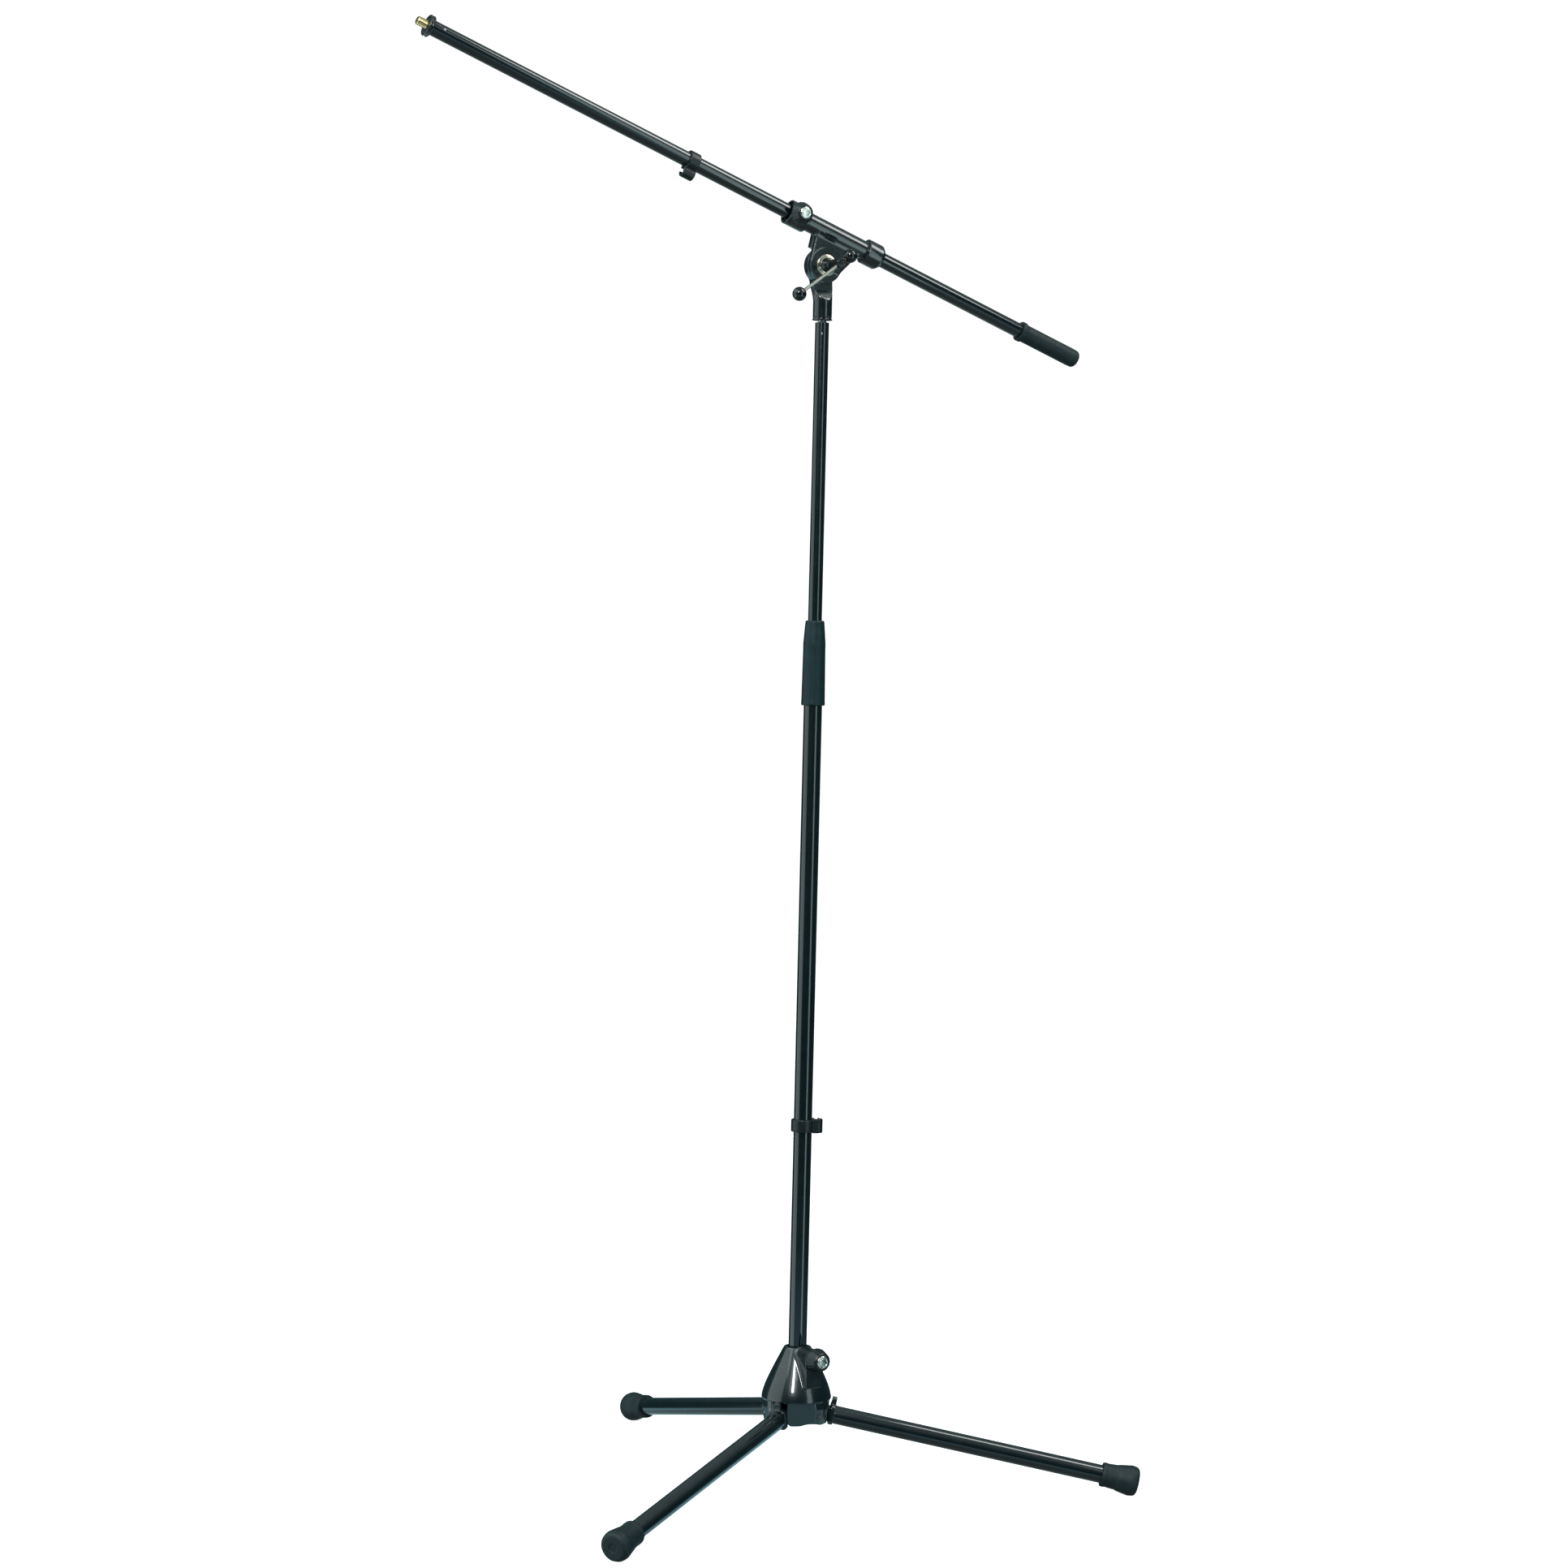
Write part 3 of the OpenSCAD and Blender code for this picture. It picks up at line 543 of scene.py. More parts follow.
def skin(field, lo, hi, step):
    """Quad mesh on field = 0, with every point moved on to the surface and the
    normals taken from the field."""
    lo = np.array(lo, float) - 1.5 * step
    count = [int(math.ceil((hi[i] + 1.5 * step - lo[i]) / step)) + 1 for i in range(3)]
    axes = [lo[i] + step * np.arange(count[i]) for i in range(3)]
    samples = np.empty(count, np.float32)
    slab = max(1, int(300000 / (count[1] * count[2])))  # bounds the memory in use
    for i in range(0, count[0], slab):
        grid = np.meshgrid(axes[0][i:i + slab], axes[1], axes[2], indexing="ij")
        samples[i:i + slab] = field(*grid)
    inside = samples < 0
    ends = (slice(0, -1), slice(1, None))
    filled = np.zeros([n - 1 for n in count], np.int8)
    for i, j, k in CORNERS:
        filled += inside[ends[i], ends[j], ends[k]]
    active = (filled > 0) & (filled < 8)
    cells = np.argwhere(active)
    index = np.full(active.shape, -1, np.int64)
    index[active] = np.arange(len(cells))
    points = lo + step * cell_points(samples, cells)
    quads = cell_quads(inside, index)
    for _ in range(3):
        slope = gradient(field, points, 0.02)
        move = slope * (field(*points.T) / np.maximum((slope * slope).sum(1), 0.05))[:, None]
        length = np.linalg.norm(move, axis=1)
        move *= np.minimum(1, 0.5 * step / np.maximum(length, 1e-9))[:, None]
        points = points - move
    slope = gradient(field, points, 0.08)
    normals = slope / np.maximum(np.linalg.norm(slope, axis=1), 1e-9)[:, None]
    return points, quads, normals


def cast(name, mat, body, part, matrix, field, lo, hi, step):
    place(name, mesh_of(name, *skin(field, lo, hi, step)), mat, body, part, matrix)


# -------------------------------------------------------------------- base
PIN_R = math.hypot(*JOINT["leg_1_fold"]["pos_m"][:2]) * 1000  # leg pin from the pole axis
PIN_Z = JOINT["leg_1_fold"]["pos_m"][2] * 1000
KNOB_ANGLE = math.atan2(*JOINT["base_knob_turn"]["axis"][1::-1])
KNOB_Z = JOINT["base_knob_turn"]["pos_m"][2] * 1000
BASE_TOP, BASE_BOTTOM = 157.4, 75
BOSS_R = 10.6


def bezier(controls, t):
    first, second, third, fourth = controls
    w = 1 - t
    return (w ** 3 * first + 3 * w * w * t * second + 3 * w * t * t * third
            + t ** 3 * fourth)


# Outline of the base: height, radius; a curved dome stands on the band
base_rows = [(60, 34.0), (75, 35.0), (93, 37.6), (100.3, 37.75), (101.9, 38.2)]
for i in range(60):
    t = 1 - (i + 0.5) / 60
    dome_z = bezier((BASE_TOP, 124, 111, 98), t)
    if dome_z > 102.2:
        base_rows.append((dome_z, bezier((14.6, 31.4, 38.4, 38.4), t)))
base_rows.append((160, 13.8))
OUTLINE_Z, OUTLINE_R = np.array(base_rows).T


def base_field(x, y, z):
    rho = np.hypot(x, y)
    radius = np.interp(z, OUTLINE_Z, OUTLINE_R)
    slope = (np.interp(z + 0.4, OUTLINE_Z, OUTLINE_R)
             - np.interp(z - 0.4, OUTLINE_Z, OUTLINE_R)) / 0.8
    solid = (rho - radius) / np.sqrt(1 + np.clip(slope, -3, 3) ** 2)
    solid = meet(solid, z - BASE_TOP, 1.6)
    solid = meet(solid, BASE_BOTTOM - z, 1.2)
    # boss of the clamp knob: a barrel on a flat-sided foot
    out, side = swung(x, y, KNOB_ANGLE)
    foot = meet(np.abs(side) - BOSS_R, np.abs(out - 22) - 14, 0.9)
    foot = meet(foot, np.abs(z - (117.5 + KNOB_Z) / 2) - (KNOB_Z - 117.5) / 2, 0.9)
    barrel = rod(side, z - KNOB_Z, out, BOSS_R, 8, 36, 0.9)
    solid = join(solid, np.minimum(foot, barrel), 2.2)
    # pole bore with an eased mouth, then the screw bore
    solid = cut(solid, rho - 10.06, 0.5)
    solid = cut(solid, rod(x, y, z, 11.2, 154.9, 180, 0.4), 0.5)
    solid = cut(solid, rod(side, z - KNOB_Z, out, 4.05, 0, 60, 0.2), 0.3)
    for angle in LEG_ANGLES:
        # leg slot, and a wider relief outside the hinge
        out, side = swung(x, y, angle)
        solid = cut(solid, block(out, side, z, (13.2, -8.3, 55), (60, 8.3, 100), 0.5), 0.8)
        relief = block(out, side, z, (13.2, -10.6, 55), (60, 10.6, 86.1), 0.5)
        relief = meet(relief, 11.4 - np.hypot(out - PIN_R, z - PIN_Z), 0.5)
        solid = cut(solid, relief, 0.7)
        notch = block(out, side, z, (PIN_R + 10.9, -10.6, 80), (60, 10.6, 100), 0.5)
        solid = cut(solid, notch, 0.8)
        # pin hole, blind at one end
        solid = cut(solid, rod(out - PIN_R, z - PIN_Z, side, 3.0, -45, 15.5, 0.3), 0.5)
        # flat panel in the band beside the slot
        out, _ = swung(x, y, angle + math.radians(37.7))
        panel = meet((34.5 - (101 - z) * 0.1122 - out) * 0.994,
                     z - 101 + (out - 34.5) * 0.1122, 0.2)
        solid = cut(solid, panel, 0.45)
        # arch in the bottom edge between the legs
        out, side = swung(x, y, angle + math.pi / 3)
        solid = cut(solid, rod(side, z - 49, out, 28.2, 20, 60, 0.6), 1.2)
    return solid


cast("base_casting_skin", M_CAST, "base", "base_casting", np.eye(4), base_field,
     (-39, -39, 74), (39, 39, 160.5), 0.6)


# -------------------------------------------------------------------- legs
# X runs down the leg from its pin, Y is the pin's axis.
LEG_R = 10.0
TUBE_START, TUBE_END = 16.85, 353.0
FOOT_END = 359.0


def hinge_field(x, y, z):
    """Eye on the pin, neck, flange with a raised tab, spigot in the tube."""
    solid = rod(x, z, y, 7.6, -7.8, 7.8, 0.8)
    solid = join(solid, block(x, y, z, (0, -7.8, -7.6), (14, 7.8, 7.6), 0.8), 1.0)
    flange = block(x, y, z, (11.6, -10, -10.6), (16.8, 10, 11.4), 0.9)
    flange = meet(flange, np.hypot(y, z) - 13, 1.2)
    tab = np.minimum(block(x, y, z, (11.6, -4.5, 4), (16.8, 4.5, 15.2), 0.9),
                     rod(y, z - 15.2, x, 4.5, 11.6, 16.8, 0.9))
    solid = join(solid, join(flange, tab, 2.0), 0.8)
    solid = join(solid, rod(y, z, x, 8.72, 14, 24, 0.4), 0.4)
    return cut(solid, np.hypot(x, z) - 3.05, 0.4)


# Foot cap, measured from its far end: x, radius, fillet
FOOT_PROFILE = [
    (-41, 10.03), (-41, 13.2, 1.1), (-36.6, 13.45, 0.6), (-36.0, 12.95, 0.5),
    (-24, 13.7, 0.5), (-23.2, 14.25, 0.6), (-8.4, 16.75, 7.2), (-0.1, 15.4, 6.6),
    (0, 5.2, 1.0), (-0.7, 4.6, 0.5), (-0.7, 0.4), (-6, 0.4), (-6, 10.03),
]


def foot_mesh():
    """Foot cap pressed flat where it meets the floor."""
    points, faces = turn(shift_x(FOOT_END, FOOT_PROFILE), seg=120, steps=10, dense=1.2)
    rotation, origin = LEGS[0][:3, :3], LEGS[0][:3, 3]
    world = (rotation @ (points.T / 1000)).T + origin
    world[world[:, 2] < 0, 2] = 0
    return mesh_of("foot_cap_skin", ((world - origin) @ rotation) * 1000, faces, sharp=30)


hinge = mesh_of("leg_hinge_skin",
                *skin(hinge_field, (-8, -10.5, -13.5), (24.5, 10.5, 20.2), 0.45))
leg_tube = mesh_of("leg_tube_skin", *turn([
    (TUBE_START, LEG_R, 0.45), (TUBE_END, LEG_R, 0.45),
    (TUBE_END, 8.8, 0.4), (TUBE_START, 8.8, 0.4)]))
for i, leg in enumerate(LEGS, 1):
    place(f"leg_{i}_hinge", hinge, M_CAST, f"leg_{i}", f"leg_{i}_hinge_block", leg)
    place(f"leg_{i}_tube_skin", leg_tube, M_TUBE, f"leg_{i}", f"leg_{i}_tube", leg)
foot = foot_mesh()
for i, leg in enumerate(LEGS, 1):
    place(f"leg_{i}_foot_cap", foot, M_RUBBER, f"leg_{i}", f"leg_{i}_foot", leg)
keep("leg_pivot_pins", M_PIN)


# ------------------------------------------------------------- clamp knobs
def knob(body, part, matrix, start, depth, wide, narrow, hub, notches, cap_r, proud):
    """Notched rim that narrows from start to end, with a bright insert."""
    end = start + depth

    def notched(x, angles, radius):
        if radius < narrow * 0.62 or x < start - 0.2:
            return np.full_like(angles, radius)
        phase = (angles * notches / (2 * math.pi)) % 1.0
        groove = np.exp(-((phase - 0.5) / 0.17) ** 2)
        fade = (np.clip((x - start - 0.4) / 2.0, 0, 1)
                * np.clip((end - 0.2 - x) / 2.2, 0.0, 1))
        deepen = np.clip((end - 1.0 - x) / (depth - 2.0), 0.0, 1)
        return radius - (0.14 + 0.24 * deepen) * groove * fade

    rim = [(start - hub, wide * 0.56, 0.5), (start, wide * 0.56, 0.4),
           (start, wide - 0.2, 1.5), (start + 2.6, wide, 1.0),
           (end - 1.5, narrow + 0.2, 1.6), (end, narrow - 1.5, 0.6),
           (end, cap_r + 0.35, 0.2), (end - 0.4, cap_r + 0.12, 0.2),
           (end - 1.2, cap_r + 0.05), (end - 1.2, 3.0), (start - hub, 3.0)]
    lathe(body + "_rim", M_PLASTIC, body, part, matrix, rim,
          seg=notches * 14, shape=notched, dense=0.7, sharp=50)
    radius, top = cap_r - 0.05, end + proud
    insert = [(end - 1.15, 0), (end - 1.15, radius), (top - 0.9, radius, 0.5),
              (top - 0.1, radius - 1.1, 0.7), (top - 0.1, radius - 1.9, 0.2),
              (top - 0.4, radius - 2.1, 0.2), (top - 0.4, radius - 2.6, 0.2),
              (top, radius - 2.9, 0.25), (top, 0)]
    lathe(body + "_insert", M_CHROME, body, part + "_cap", matrix, insert,
          closed=False, steps=5)


knob("base_knob", "base_knob", BASE_KNOB, start=38.6, depth=15, wide=13.2, narrow=9.9,
     hub=2.3, notches=20, cap_r=7, proud=1.0)
knob("boom_knob", "boom_clamp_knob", BOOM_KNOB, start=15.6, depth=12, wide=12.2,
     narrow=8.9, hub=0.9, notches=18, cap_r=6.6, proud=0.9)
keep("base_clamp_screw", M_ZINC)
keep("boom_clamp_screw", M_ZINC)
keep("base_pressure_pad", M_RUBBER)
keep("boom_clamp_pad", M_RUBBER)

# -------------------------------------------------------------------- pole
tube("lower_tube_skin", "pole", "lower_tube", POLE, LOWER_Z0, LOWER_Z1, POLE_R, 8.8, 0.35)
tube("upper_tube_skin", "upper_pole", "upper_tube", POLE, UPPER_Z0, UPPER_Z1, UPPER_R,
     6.3, 0.5)
keep("lower_tube_plug", M_PLASTIC)
keep("clutch_body", M_PLASTIC)
keep("clutch_collet", M_IVORY)
keep("tube_guide_bush", M_IVORY)

GRIP_FOOT = GRIP_TOP - 92


def faceted(x, angles, radius):
    """Sixteen flats with a fine groove at each corner; the bore stays round."""
    if radius < 9.9:
        return np.full_like(angles, radius)
    flats = 16
    phase = (angles * flats / (2 * math.pi)) % 1.0 - 0.5
    flat = math.cos(math.pi / flats) / np.cos(phase * 2 * math.pi / flats)
    fade = (float(np.clip((GRIP_FOOT + 66 - x) / 6, 0, 1))
            * float(np.clip((x - GRIP_FOOT - 2) / 4, 0, 1)))
    groove = 0.28 * fade * np.exp(-((np.abs(phase) - 0.5) / 0.09) ** 2)
    return radius * (1 + (flat - 1) * fade * 1.5) - groove


# x, radius, fillet: outside from the foot, over the top, then the bore
clutch_profile = shift_x(GRIP_FOOT, [
    (0, 10.35, 0.2), (0, 12.9, 1.6), (5, 13.0, 2.0), (60, 12.35, 3.0), (68, 12.1, 4.0),
    (90.6, 10.3, 1.0)])
clutch_profile += shift_x(GRIP_TOP, [
    (0, 9.3, 0.5), (0, 7.8, 0.3), (-4.6, 7.8), (-4.6, 8.9), (-28, 9.8), (-30.6, 11.1)])
clutch_profile += shift_x(GRIP_FOOT, [(8, 11.1), (8, 10.35)])
lathe("clutch_grip_skin", M_GRIP, "clutch_grip", "clutch_grip", POLE, clutch_profile,
      seg=192, shape=faceted, dense=1.2, sharp=28)


def clip_field(bore, wall, height):
    """Ring around a tube along Z, with an open hook on its +X side."""
    def field(x, y, z):
        ring = rod(x, y, z, bore + wall, -height / 2, height / 2, 1.1)
        lobe = meet(np.hypot(x - bore - 5.4, y) - 6.2, np.abs(z) - (height / 2 + 1), 1.3)
        web = block(x, y, z, (bore - 1, -4.2, -height / 2 - 0.6),
                    (bore + 6, 4.2, height / 2 + 0.6), 1.0)
        solid = join(join(ring, web, 1.2), lobe, 1.8)
        solid = cut(solid, np.hypot(x, y) - (bore + 0.06), 0.5)
        solid = cut(solid, np.hypot(x - bore - 6, y) - 3.6, 0.8)
        # mouth of the hook, on its +Y side
        out, side = swung(x - bore - 6, y, math.radians(95))
        return cut(solid, block(out, side, z, (0, 0, -30), (12, 3.4, 30), 0.6), 0.8)
    return field


POLE_CLIP_Z = 400.0
BOOM_CLIP_X = -172
cast("pole_cable_clip_skin", M_PLASTIC, "pole_clip", "pole_cable_clip",
     turned(basis((0, 0, POLE_CLIP_Z / 1000), X_DIR, Z_DIR), "Z", -28),
     clip_field(POLE_R, 2.9, 13.5), (-13.5, -13.5, -8.5), (22.5, 13.5, 8.5), 0.42)
cast("boom_cable_clip_skin", M_PLASTIC, "boom_clip", "boom_cable_clip",
     turned(local(BOOM, BOOM_CLIP_X), "Y", 90),
     clip_field(BOOM_R, 2.7, 12.0), (-11.5, -11.5, -8), (20.5, 11.5, 8), 0.40)


def thread(depth, start, end):
    """Shape for turn(): a screw thread that fades out at both ends."""
    def shape(x, angles, radius):
        phase = ((x / THREAD_PITCH) - angles / (2 * math.pi)) % 1.0
        tooth = np.abs(phase - 0.5) * 2
        fade = (float(np.clip((x - start) / 1.0, 0, 1))
                * float(np.clip((end - x) / 1.2, 0, 1)))
        return radius - depth * np.clip(1.15 * tooth - 0.075, 0, 1) * fade
    return shape


lathe("top_stud_thread", M_ZINC, "upper_pole", "top_stud", POLE, shift_x(UPPER_Z1, [
    (-4, 0), (-4, 6.25), (0.05, 6.25, 0.4), (0.05, STUD_R + 0.02, 0.2),
    (23.5, STUD_R, 0.3), (23.5, 0)]),
    seg=72, closed=False, steps=4, dense=0.22, sharp=60,
    shape=thread(0.8, UPPER_Z1 + 0.4, UPPER_Z1 + 23))
lathe("top_ring_skin", M_RING, "top_ring", "top_lock_ring", POLE, shift_x(SOCKET_Z, [
    (-3.7, RING_BORE, 0.2), (-3.7, 10.9, 0.55), (-2.5, 10.9, 0.4), (-1.9, 10.0, 0.5),
    (-1.0, 10.0, 0.4), (-0.5, 10.5, 0.3), (-0.12, 10.4, 0.2), (-0.12, RING_BORE, 0.1)]),
    steps=4)

# ------------------------------------------------------------------ swivel
# Two discs face each other across the plane y = 0, about the tilt pivot.
SOCKET_FOOT = SOCKET_Z - PIVOT_AT[2] * 1000  # from the pivot
DISC_R = 19.0
RECESS_R = 14.0  # recess for the friction disc


def socket_field(x, y, z):
    solid = rod(x, y, z, 10.3, SOCKET_FOOT, -22, 0.7)
    # shoulder that slopes back to the middle plane
    angle = math.radians(49)
    shoulder = -(y + 9.3) * math.sin(angle) + (z + 35.4) * math.cos(angle)
    solid = meet(solid, shoulder, 1.2)
    solid = meet(solid, np.where(z > -26.5, 0.06 - y, -50), 0.3)
    # neck that widens up to the disc
    neck = meet(np.abs(x) - np.interp(z, [-36, -24, -10], [12, 12, 11.2]),
                np.abs(y - 5.03) - 4.97, 1.0)
    cone = np.interp(z, [-40, -35, -25, -18, -6], [10.3, 10.35, 13, 16, 16])
    neck = meet(neck, (np.hypot(x, y) - cone) * 0.95, 1.0)
    neck = meet(neck, np.abs(z + 21) - 15, 0.6)
    solid = join(solid, neck, 1.4)
    solid = join(solid, rod(x, z, y, DISC_R, 0.06, 10.0, 1.3), 2.4)
    # flat face, stud hole, bolt hole and disc recess
    solid = meet(solid, 0.05 - y + np.where(z < -26.5, -50, 0), 0.12)
    stud_hole = rod(x, y, z, STUD_R + 0.05, SOCKET_FOOT - 5, SOCKET_FOOT + 19, 0.2)
    solid = cut(solid, stud_hole, 0.4)
    solid = cut(solid, np.hypot(x, z) - 4.0, 0.2)
    return cut(solid, rod(x, z, y, RECESS_R, -20, 1.05, 0.2), 0.3)


def head_field(x, y, z):
    above = z - BOOM_OFF  # height over the boom's axis
    low_x, high_x = (-24.4, BOOM_OFF), (36.5, BOOM_OFF)
    # lug between disc and sleeve
    left = beside(x, z, low_x, (-18.9, -1.2))
    right = beside(x, z, (18.9, -1.2), high_x)
    lug = meet(meet(-left, -right, 1.5), meet(z - BOOM_OFF, -z - 4, 1.0), 1.0)
    lug = meet(lug, np.abs(y + 3.28) - 3.22, 1.2)
    solid = join(rod(x, z, y, DISC_R, -6.5, -0.06, 1.2), lug, 0.8)
    # thicker web under the sleeve, clear of the socket's disc
    left = beside(x, z, low_x, (-21.4, 12.4))
    right = beside(x, z, (23.6, 12.4), high_x)
    web = meet(meet(-left, -right, 1.5), meet(z - BOOM_OFF, 12.4 - z, 1.2), 1.0)
    web = meet(web, np.abs(y - 4.2) - 4.3, 1.0)
    web = meet(web, 20.2 - np.hypot(x, z) + np.where(y < 0, -40, 0), 0.5)
    solid = join(solid, web, 0.5)
    solid = join(solid, rod(y, above, x, 10.25, -38, 37.5, 0.9), 3.0)
    solid = cut(solid, meet(np.hypot(x, z) - 20.2, -y, 0.1), 0.4)
    # boom bore, bolt hole and disc recess
    solid = cut(solid, np.hypot(y, above) - 8.95, 0.4)
    solid = cut(solid, np.hypot(x, z) - 4.05, 0.2)
    return cut(solid, rod(x, z, y, RECESS_R, -1.05, 20, 0.2), 0.2)


CLAMP_END = 61.8  # clamp's open end, towards -X
CLAMP_SCREW_X = -53.2
COLLAR_END = 61.2  # collar's outer end, towards +X


def clamp_field(x, y, z):
    """Sleeve round the boom with a boss for the clamp screw."""
    above, along = z - BOOM_OFF, x - CLAMP_SCREW_X
    solid = rod(y, above, x, 13.5, -CLAMP_END, -38, 1.1)
    solid = join(solid, rod(along, above, y, 9.6, -14.6, 0, 0.9), 2.6)
    solid = cut(solid, np.hypot(y, above) - 8.06, 0.5)
    flare = np.interp(x, [-CLAMP_END - 1, -CLAMP_END, -CLAMP_END + 5], [11.8, 11.6, 10.6])
    mouth = meet(np.hypot(y, above) - flare, x - (-CLAMP_END + 5), 0.3)
    solid = cut(solid, mouth, 0.6)
    return cut(solid, rod(along, above, y, 3.05, -40, 0, 0.2), 0.2)


cast("swivel_socket_skin", M_CAST, "upper_pole", "swivel_socket", PIVOT, socket_field,
     (-19.5, -11, SOCKET_FOOT - 0.5), (19.5, 11, 19.5), 0.42)
cast("swivel_head_skin", M_CAST, "head", "swivel_head", HEAD, head_field,
     (-38.5, -10.8, -19.6), (38, 10.8, BOOM_OFF + 10.8), 0.45)
cast("boom_clamp_skin", M_CAST, "head", "boom_clamp", HEAD, clamp_field,
     (-CLAMP_END - 0.5, -15.2, BOOM_OFF - 14), (-37.5, 14, BOOM_OFF + 14), 0.42)
lathe("rear_collar_skin", M_CAST, "head", "rear_collar", local(HEAD, z=BOOM_OFF), [
    (37.55, 8.06, 0.2), (37.55, 9.6), (39.2, 9.6, 0.5), (39.2, 13.7, 1.0),
    (COLLAR_END - 4.6, 13.7, 1.6), (COLLAR_END - 3.2, 12.7, 1.4),
    (COLLAR_END - 0.2, 9.9, 1.0), (COLLAR_END, 8.06, 0.3)], seg=120, steps=7)
keep("boom_liner", M_IVORY)
keep("friction_disc", M_FIBRE)
keep("pivot_bolt", M_ZINC)

# ---------------------------------------------------------------- T handle
WASHER_X = 6.5
HUB_START, HUB_END = WASHER_X + 2.5, 43.0
BAR_X = 38.4
BALL_R = 7.55
lathe("pivot_washer_skin", M_ROD, "washer", "pivot_washer", HANDLE, shift_x(WASHER_X, [
    (0.06, 4.06), (0.06, 11.8, 0.25), (1.1, 11.8, 0.5), (2.0, 10.9, 0.5),
    (2.35, 9.9, 0.5), (2.0, 8.9, 0.5), (2.4, 7.9, 0.3), (2.4, 4.06)]), seg=120, steps=5)
hub_profile = shift_x(HUB_START, [
    (0, 4.06), (0, 8.2, 0.5), (2, 8.2, 0.8), (4.6, 6.5, 1.8), (12, 5.4, 3.0)])
hub_profile += shift_x(HUB_END, [
    (-12.4, 5.4, 2.0), (-10, 6.3, 1.2), (-1.2, 6.3, 0.8), (0, 5.2, 0.5), (0, 3.6, 0.3),
    (-0.6, 3.0, 0.3), (-0.6, 0.6)])
hub_profile.append((HUB_START, 0.6))
lathe("t_handle_hub_skin", M_HUB, "t_hub", "t_handle_hub", HANDLE, hub_profile, dense=2.0)
BAR = turned(basis(PIVOT_AT + np.array([0, -BAR_X / 1000, 0]), X_DIR, Z_DIR), "Y", -36)
lathe("t_bar_rod_skin", M_ROD, "t_bar", "t_bar_rod", BAR,
      [(-62, 0), (-62, 1.8, 0.3), (16.5, 1.8, 0.3), (16.5, 0)],
      seg=48, closed=False, steps=4, dense=6)


def ball_profile(centre, toward):
    """A ball with a small flat where the rod enters, on its toward side."""
    out = []
    flat = BALL_R * 0.955
    for i in range(41):
        angle = math.pi * i / 40
        x = -math.cos(angle) * BALL_R
        if toward * x > flat:
            x = toward * BALL_R * 0.955
        out.append((centre + x, math.sin(angle) * BALL_R))
    return out


ball_points, ball_faces = [], []
for centre, toward in ((-60, 1), (14.6, -1)):
    points, faces = turn(ball_profile(centre, toward), seg=72, closed=False)
    ball_faces += [tuple(j + len(ball_points) for j in face) for face in faces]
    ball_points += [tuple(point) for point in points]
place("t_bar_balls_skin", mesh_of("t_bar_balls_skin", ball_points, ball_faces), M_BALL,
      "t_bar", "t_bar_balls", BAR)

# -------------------------------------------------------------------- boom
STUD_END, GRIP_END = -491.0, 345.0  # ends of the boom along X
STUD_TIP = STUD_END - 16.6
tube("boom_rod_skin", "boom", "boom_rod", BOOM, STUD_END, GRIP_END - 4, BOOM_R, 6.8, 0.45)
front_stud = shift_x(STUD_TIP, [(0, 0), (0, STUD_R - 1.0, 0.1), (1.0, STUD_R, 0.1)])
front_stud += shift_x(STUD_END, [
    (-5.5, STUD_R, 0.1), (-5.5, STUD_R - 0.4, 0.1), (0.0, STUD_R - 0.4, 0.1),
    (0.0, 6.75, 0.1), (6, 6.75, 0.2), (6, 0)])
lathe("front_stud_thread", M_BRASS, "boom", "front_stud", BOOM, front_stud,
      seg=72, closed=False, steps=3, dense=0.2, sharp=60,
      shape=thread(0.75, STUD_TIP + 0.2, STUD_END - 5.4))
front_ring = shift_x(STUD_END - 0.06, [
    (0, RING_BORE, 0.2), (0, 11.0, 0.5), (-0.9, 11.6, 0.4), (-2.0, 11.2, 0.6),
    (-2.7, 10.3, 0.5), (-3.4, 11.2, 0.6), (-4.4, 11.8, 0.5), (-5.2, 11.2, 0.5),
    (-5.4, 9.4, 0.4), (-4.9, 7.2, 0.6), (-5.2, RING_BORE + 0.2, 0.3)])
lathe("front_ring_skin", M_RING, "front_ring", "front_lock_ring", BOOM, front_ring,
      seg=120, steps=5)
boom_grip = shift_x(GRIP_END - 80, [
    (0, 8.03, 0.2), (0, 11.0, 0.8), (0.8, 11.2, 0.6), (4.6, 11.15, 0.8),
    (5.4, 10.3, 0.5), (7, 9.95, 1.5)])
boom_grip += shift_x(GRIP_END, [
    (-10, 10.0, 4.0), (-0.9, 9.6, 5.2), (0, 3.2, 1.4), (-0.5, 0.5), (-3.9, 0.5),
    (-3.9, 8.03)])
lathe("boom_grip_skin", M_RUBBER, "boom", "boom_grip", BOOM, boom_grip, steps=8, dense=2.0)


def dimple(name, body, part, matrix, radius):
    """Crimp mark: a low ring around a shallow hollow, X outwards."""
    lathe(name, M_ZINC, body, part, matrix, [
        (-0.6, 0), (-0.6, radius, 0.1), (0.16, radius, 0.15), (0.2, radius * 0.72, 0.1),
        (-0.12, radius * 0.4, 0.1), (-0.14, 0)], seg=32, closed=False, steps=3)


dimple("front_crimp_mark", "boom", "front_crimp_pin",
       turned(local(BOOM, STUD_END + 12), "X", -14)
       @ basis((0, -0.00805, 0), (0, -1, 0), Z_DIR), 1.2)
cos, sin = math.cos(math.radians(-118)), math.sin(math.radians(-118))
dimple("top_crimp_mark", "upper_pole", "top_crimp_pin",
       basis((0.00755 * cos, 0.00755 * sin, (UPPER_Z1 - 12) / 1000), (cos, sin, 0), Z_DIR),
       1.1)


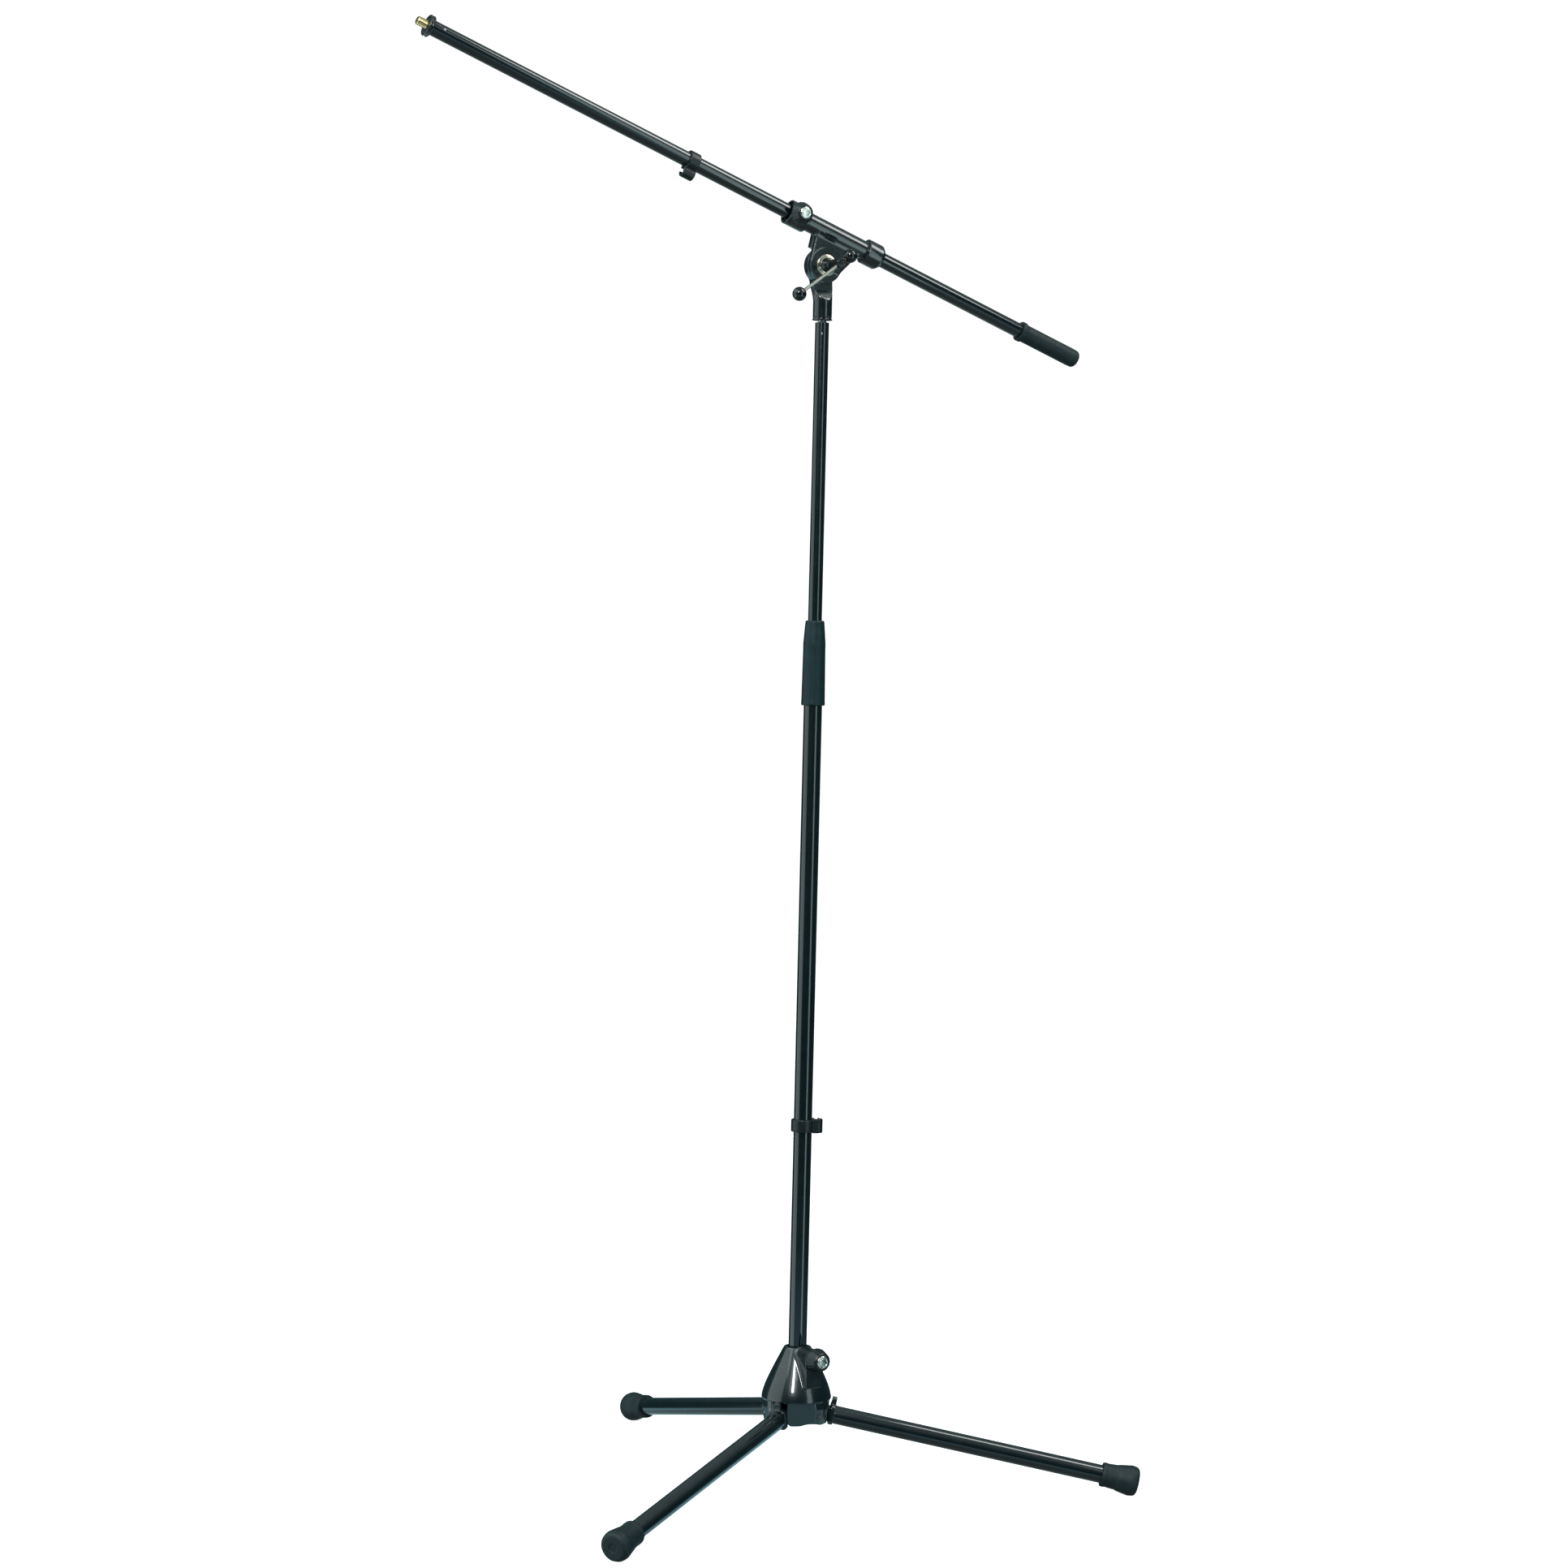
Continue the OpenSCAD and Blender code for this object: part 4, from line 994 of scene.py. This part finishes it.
# ------------------------------------------------------------------- stage
def split_for_camera(tree, unseen, seen, output):
    """One shader for the camera's own rays, another for all the rest."""
    is_camera = node(tree, "LightPath").outputs["Is Camera Ray"]
    mixed = fill(tree, node(tree, "MixShader"), is_camera, unseen, seen)
    tree.links.new(mixed, output.inputs[0])


def floor_material():
    """Pale floor: it shows near white with soft contact shadows, and throws
    only a little light back on the black enamel."""
    mat = bpy.data.materials.new("floor_pale")
    mat.use_nodes = True
    tree = mat.node_tree
    tree.nodes.clear()
    output = node(tree, "OutputMaterial")
    pale = node(tree, "BsdfDiffuse", Color=(0.62, 0.62, 0.62, 1))
    glow = node(tree, "Emission", Color=(1, 1, 1, 1), Strength=0.90)
    seen = fill(tree, node(tree, "AddShader"), pale.outputs[0], glow.outputs[0])
    unseen = node(tree, "BsdfDiffuse")
    patches = noise(tree, coords(tree), scale=3, detail=3)
    feed(tree, unseen, Color=ramp(tree, patches, [(0.3, (0.20, 0.22, 0.22)),
                                                  (0.7, (0.22, 0.24, 0.24))]))
    split_for_camera(tree, unseen.outputs[0], seen, output)
    return mat


FLOOR_HALF, FLOOR_Z = 12, -0.0003
floor_mat = floor_material()
floor_mesh = bpy.data.meshes.new("studio_floor")
floor_mesh.from_pydata([(x * FLOOR_HALF, y * FLOOR_HALF, FLOOR_Z) for x, y in
                        ((-1, -1), (1, -1), (1, 1), (-1, 1))], [], [(0, 1, 2, 3)])
floor_mesh.materials.append(floor_mat)
floor = bpy.data.objects.new("studio_floor", floor_mesh)
bpy.context.scene.collection.objects.link(floor)
floor.visible_glossy = False

# Sky that lights the stand: position from straight down (0) to up (1), colour
SKY = [
    (0.0, (0.19, 0.22, 0.21)), (0.22, (0.20, 0.30, 0.32)), (0.275, (0.36, 0.64, 0.74)),
    (0.31, (0.32, 0.58, 0.68)), (0.365, (0.020, 0.050, 0.058)),
    (0.62, (0.022, 0.052, 0.060)), (1.0, (0.34, 0.42, 0.43)),
]


def build_world():
    world = bpy.data.worlds.new("studio")
    bpy.context.scene.world = world
    world.use_nodes = True
    tree = world.node_tree
    tree.nodes.clear()
    output = node(tree, "OutputWorld")
    sky = node(tree, "Background", Strength=1.0)
    part = node(tree, "SeparateXYZ", Vector=coords(tree, "Generated")).outputs
    feed(tree, sky, Color=ramp(tree, scaled(tree, part["Z"], gain=0.5, base=0.5), SKY))
    white = node(tree, "Background", Color=(1, 1, 1, 1), Strength=1.05)
    split_for_camera(tree, sky.outputs[0], white.outputs[0], output)


build_world()

VIEW_TURN = -28  # camera's turn about the pole, degrees; 0 looks along +Y


def softbox(name, side, dist, height, target_z, width, tall, watts, color):
    """Area light aimed at the pole's axis."""
    angle = math.radians(VIEW_TURN - 90 + side)
    light = bpy.data.lights.new(name, "AREA")
    light.shape = "RECTANGLE"
    light.size, light.size_y, light.energy, light.color = width, tall, watts, color
    made = bpy.data.objects.new(name, light)
    bpy.context.scene.collection.objects.link(made)
    made.location = Vector((dist * math.cos(angle), dist * math.sin(angle), height))
    aim = Vector((0, 0, target_z)) - made.location
    made.rotation_euler = aim.to_track_quat("-Z", "Y").to_euler()


# name, degrees round from the camera (negative is to its left), distance from the
# pole, height, height aimed at, width, length, watts, colour
for row in (
    ("box_left", -80, 3.0, 1.0, 1.0, 3.4, 5.0, 58, (0.86, 1.0, 1.0)),
    ("box_left_high", -74, 3.0, 4.0, 0.6, 4.6, 2.4, 74, (0.76, 1.0, 1.0)),
    ("box_right", 46, 3.4, 1.0, 1.0, 1.0, 5.0, 30, (0.78, 1.0, 1.0)),
    ("box_top", -8, 3.0, 3.6, 0.1, 1.7, 1.9, 16, (0.92, 1.0, 1.0)),
    ("box_over", 82, 1.5, 2.7, 0.7, 0.75, 1.6, 24, (0.98, 1.0, 0.97)),
    ("box_front", -14, 8.0, 5.6, 0.12, 1.25, 3.0, 420, (0.94, 1.0, 1.0)),
):
    softbox(*row)

# ------------------------------------------------------------------ camera
CAMERA_AT = np.array([0, -4.0060, 0.9779])  # before the turn about the pole
PAN, PITCH, ROLL = math.radians(-0.419), math.radians(2.942), math.radians(1.359)
LENS, SENSOR = 84.857143, 36


def camera_matrix():
    forward = np.array([math.sin(PAN) * math.cos(PITCH), math.cos(PAN) * math.cos(PITCH),
                        -math.sin(PITCH)])
    level = np.array([math.cos(PAN), -math.sin(PAN), 0])
    upward = np.cross(level, forward)
    right = math.cos(ROLL) * level + math.sin(ROLL) * upward
    top = -math.sin(ROLL) * level + math.cos(ROLL) * upward
    cos, sin = math.cos(math.radians(VIEW_TURN)), math.sin(math.radians(VIEW_TURN))
    spin = np.array([[cos, -sin, 0], [sin, cos, 0], [0, 0, 1]])
    matrix = np.eye(4)
    matrix[:3] = spin @ np.stack([right, top, -forward, CAMERA_AT], axis=1)
    return matrix


camera = bpy.data.cameras.new("camera")
camera.sensor_width = SENSOR
camera.lens = LENS
camera.clip_end = 60
viewer = bpy.data.objects.new("camera", camera)
bpy.context.scene.collection.objects.link(viewer)
viewer.matrix_world = Matrix(camera_matrix().tolist())
bpy.context.scene.camera = viewer
bpy.context.scene.view_settings.view_transform = "Standard"
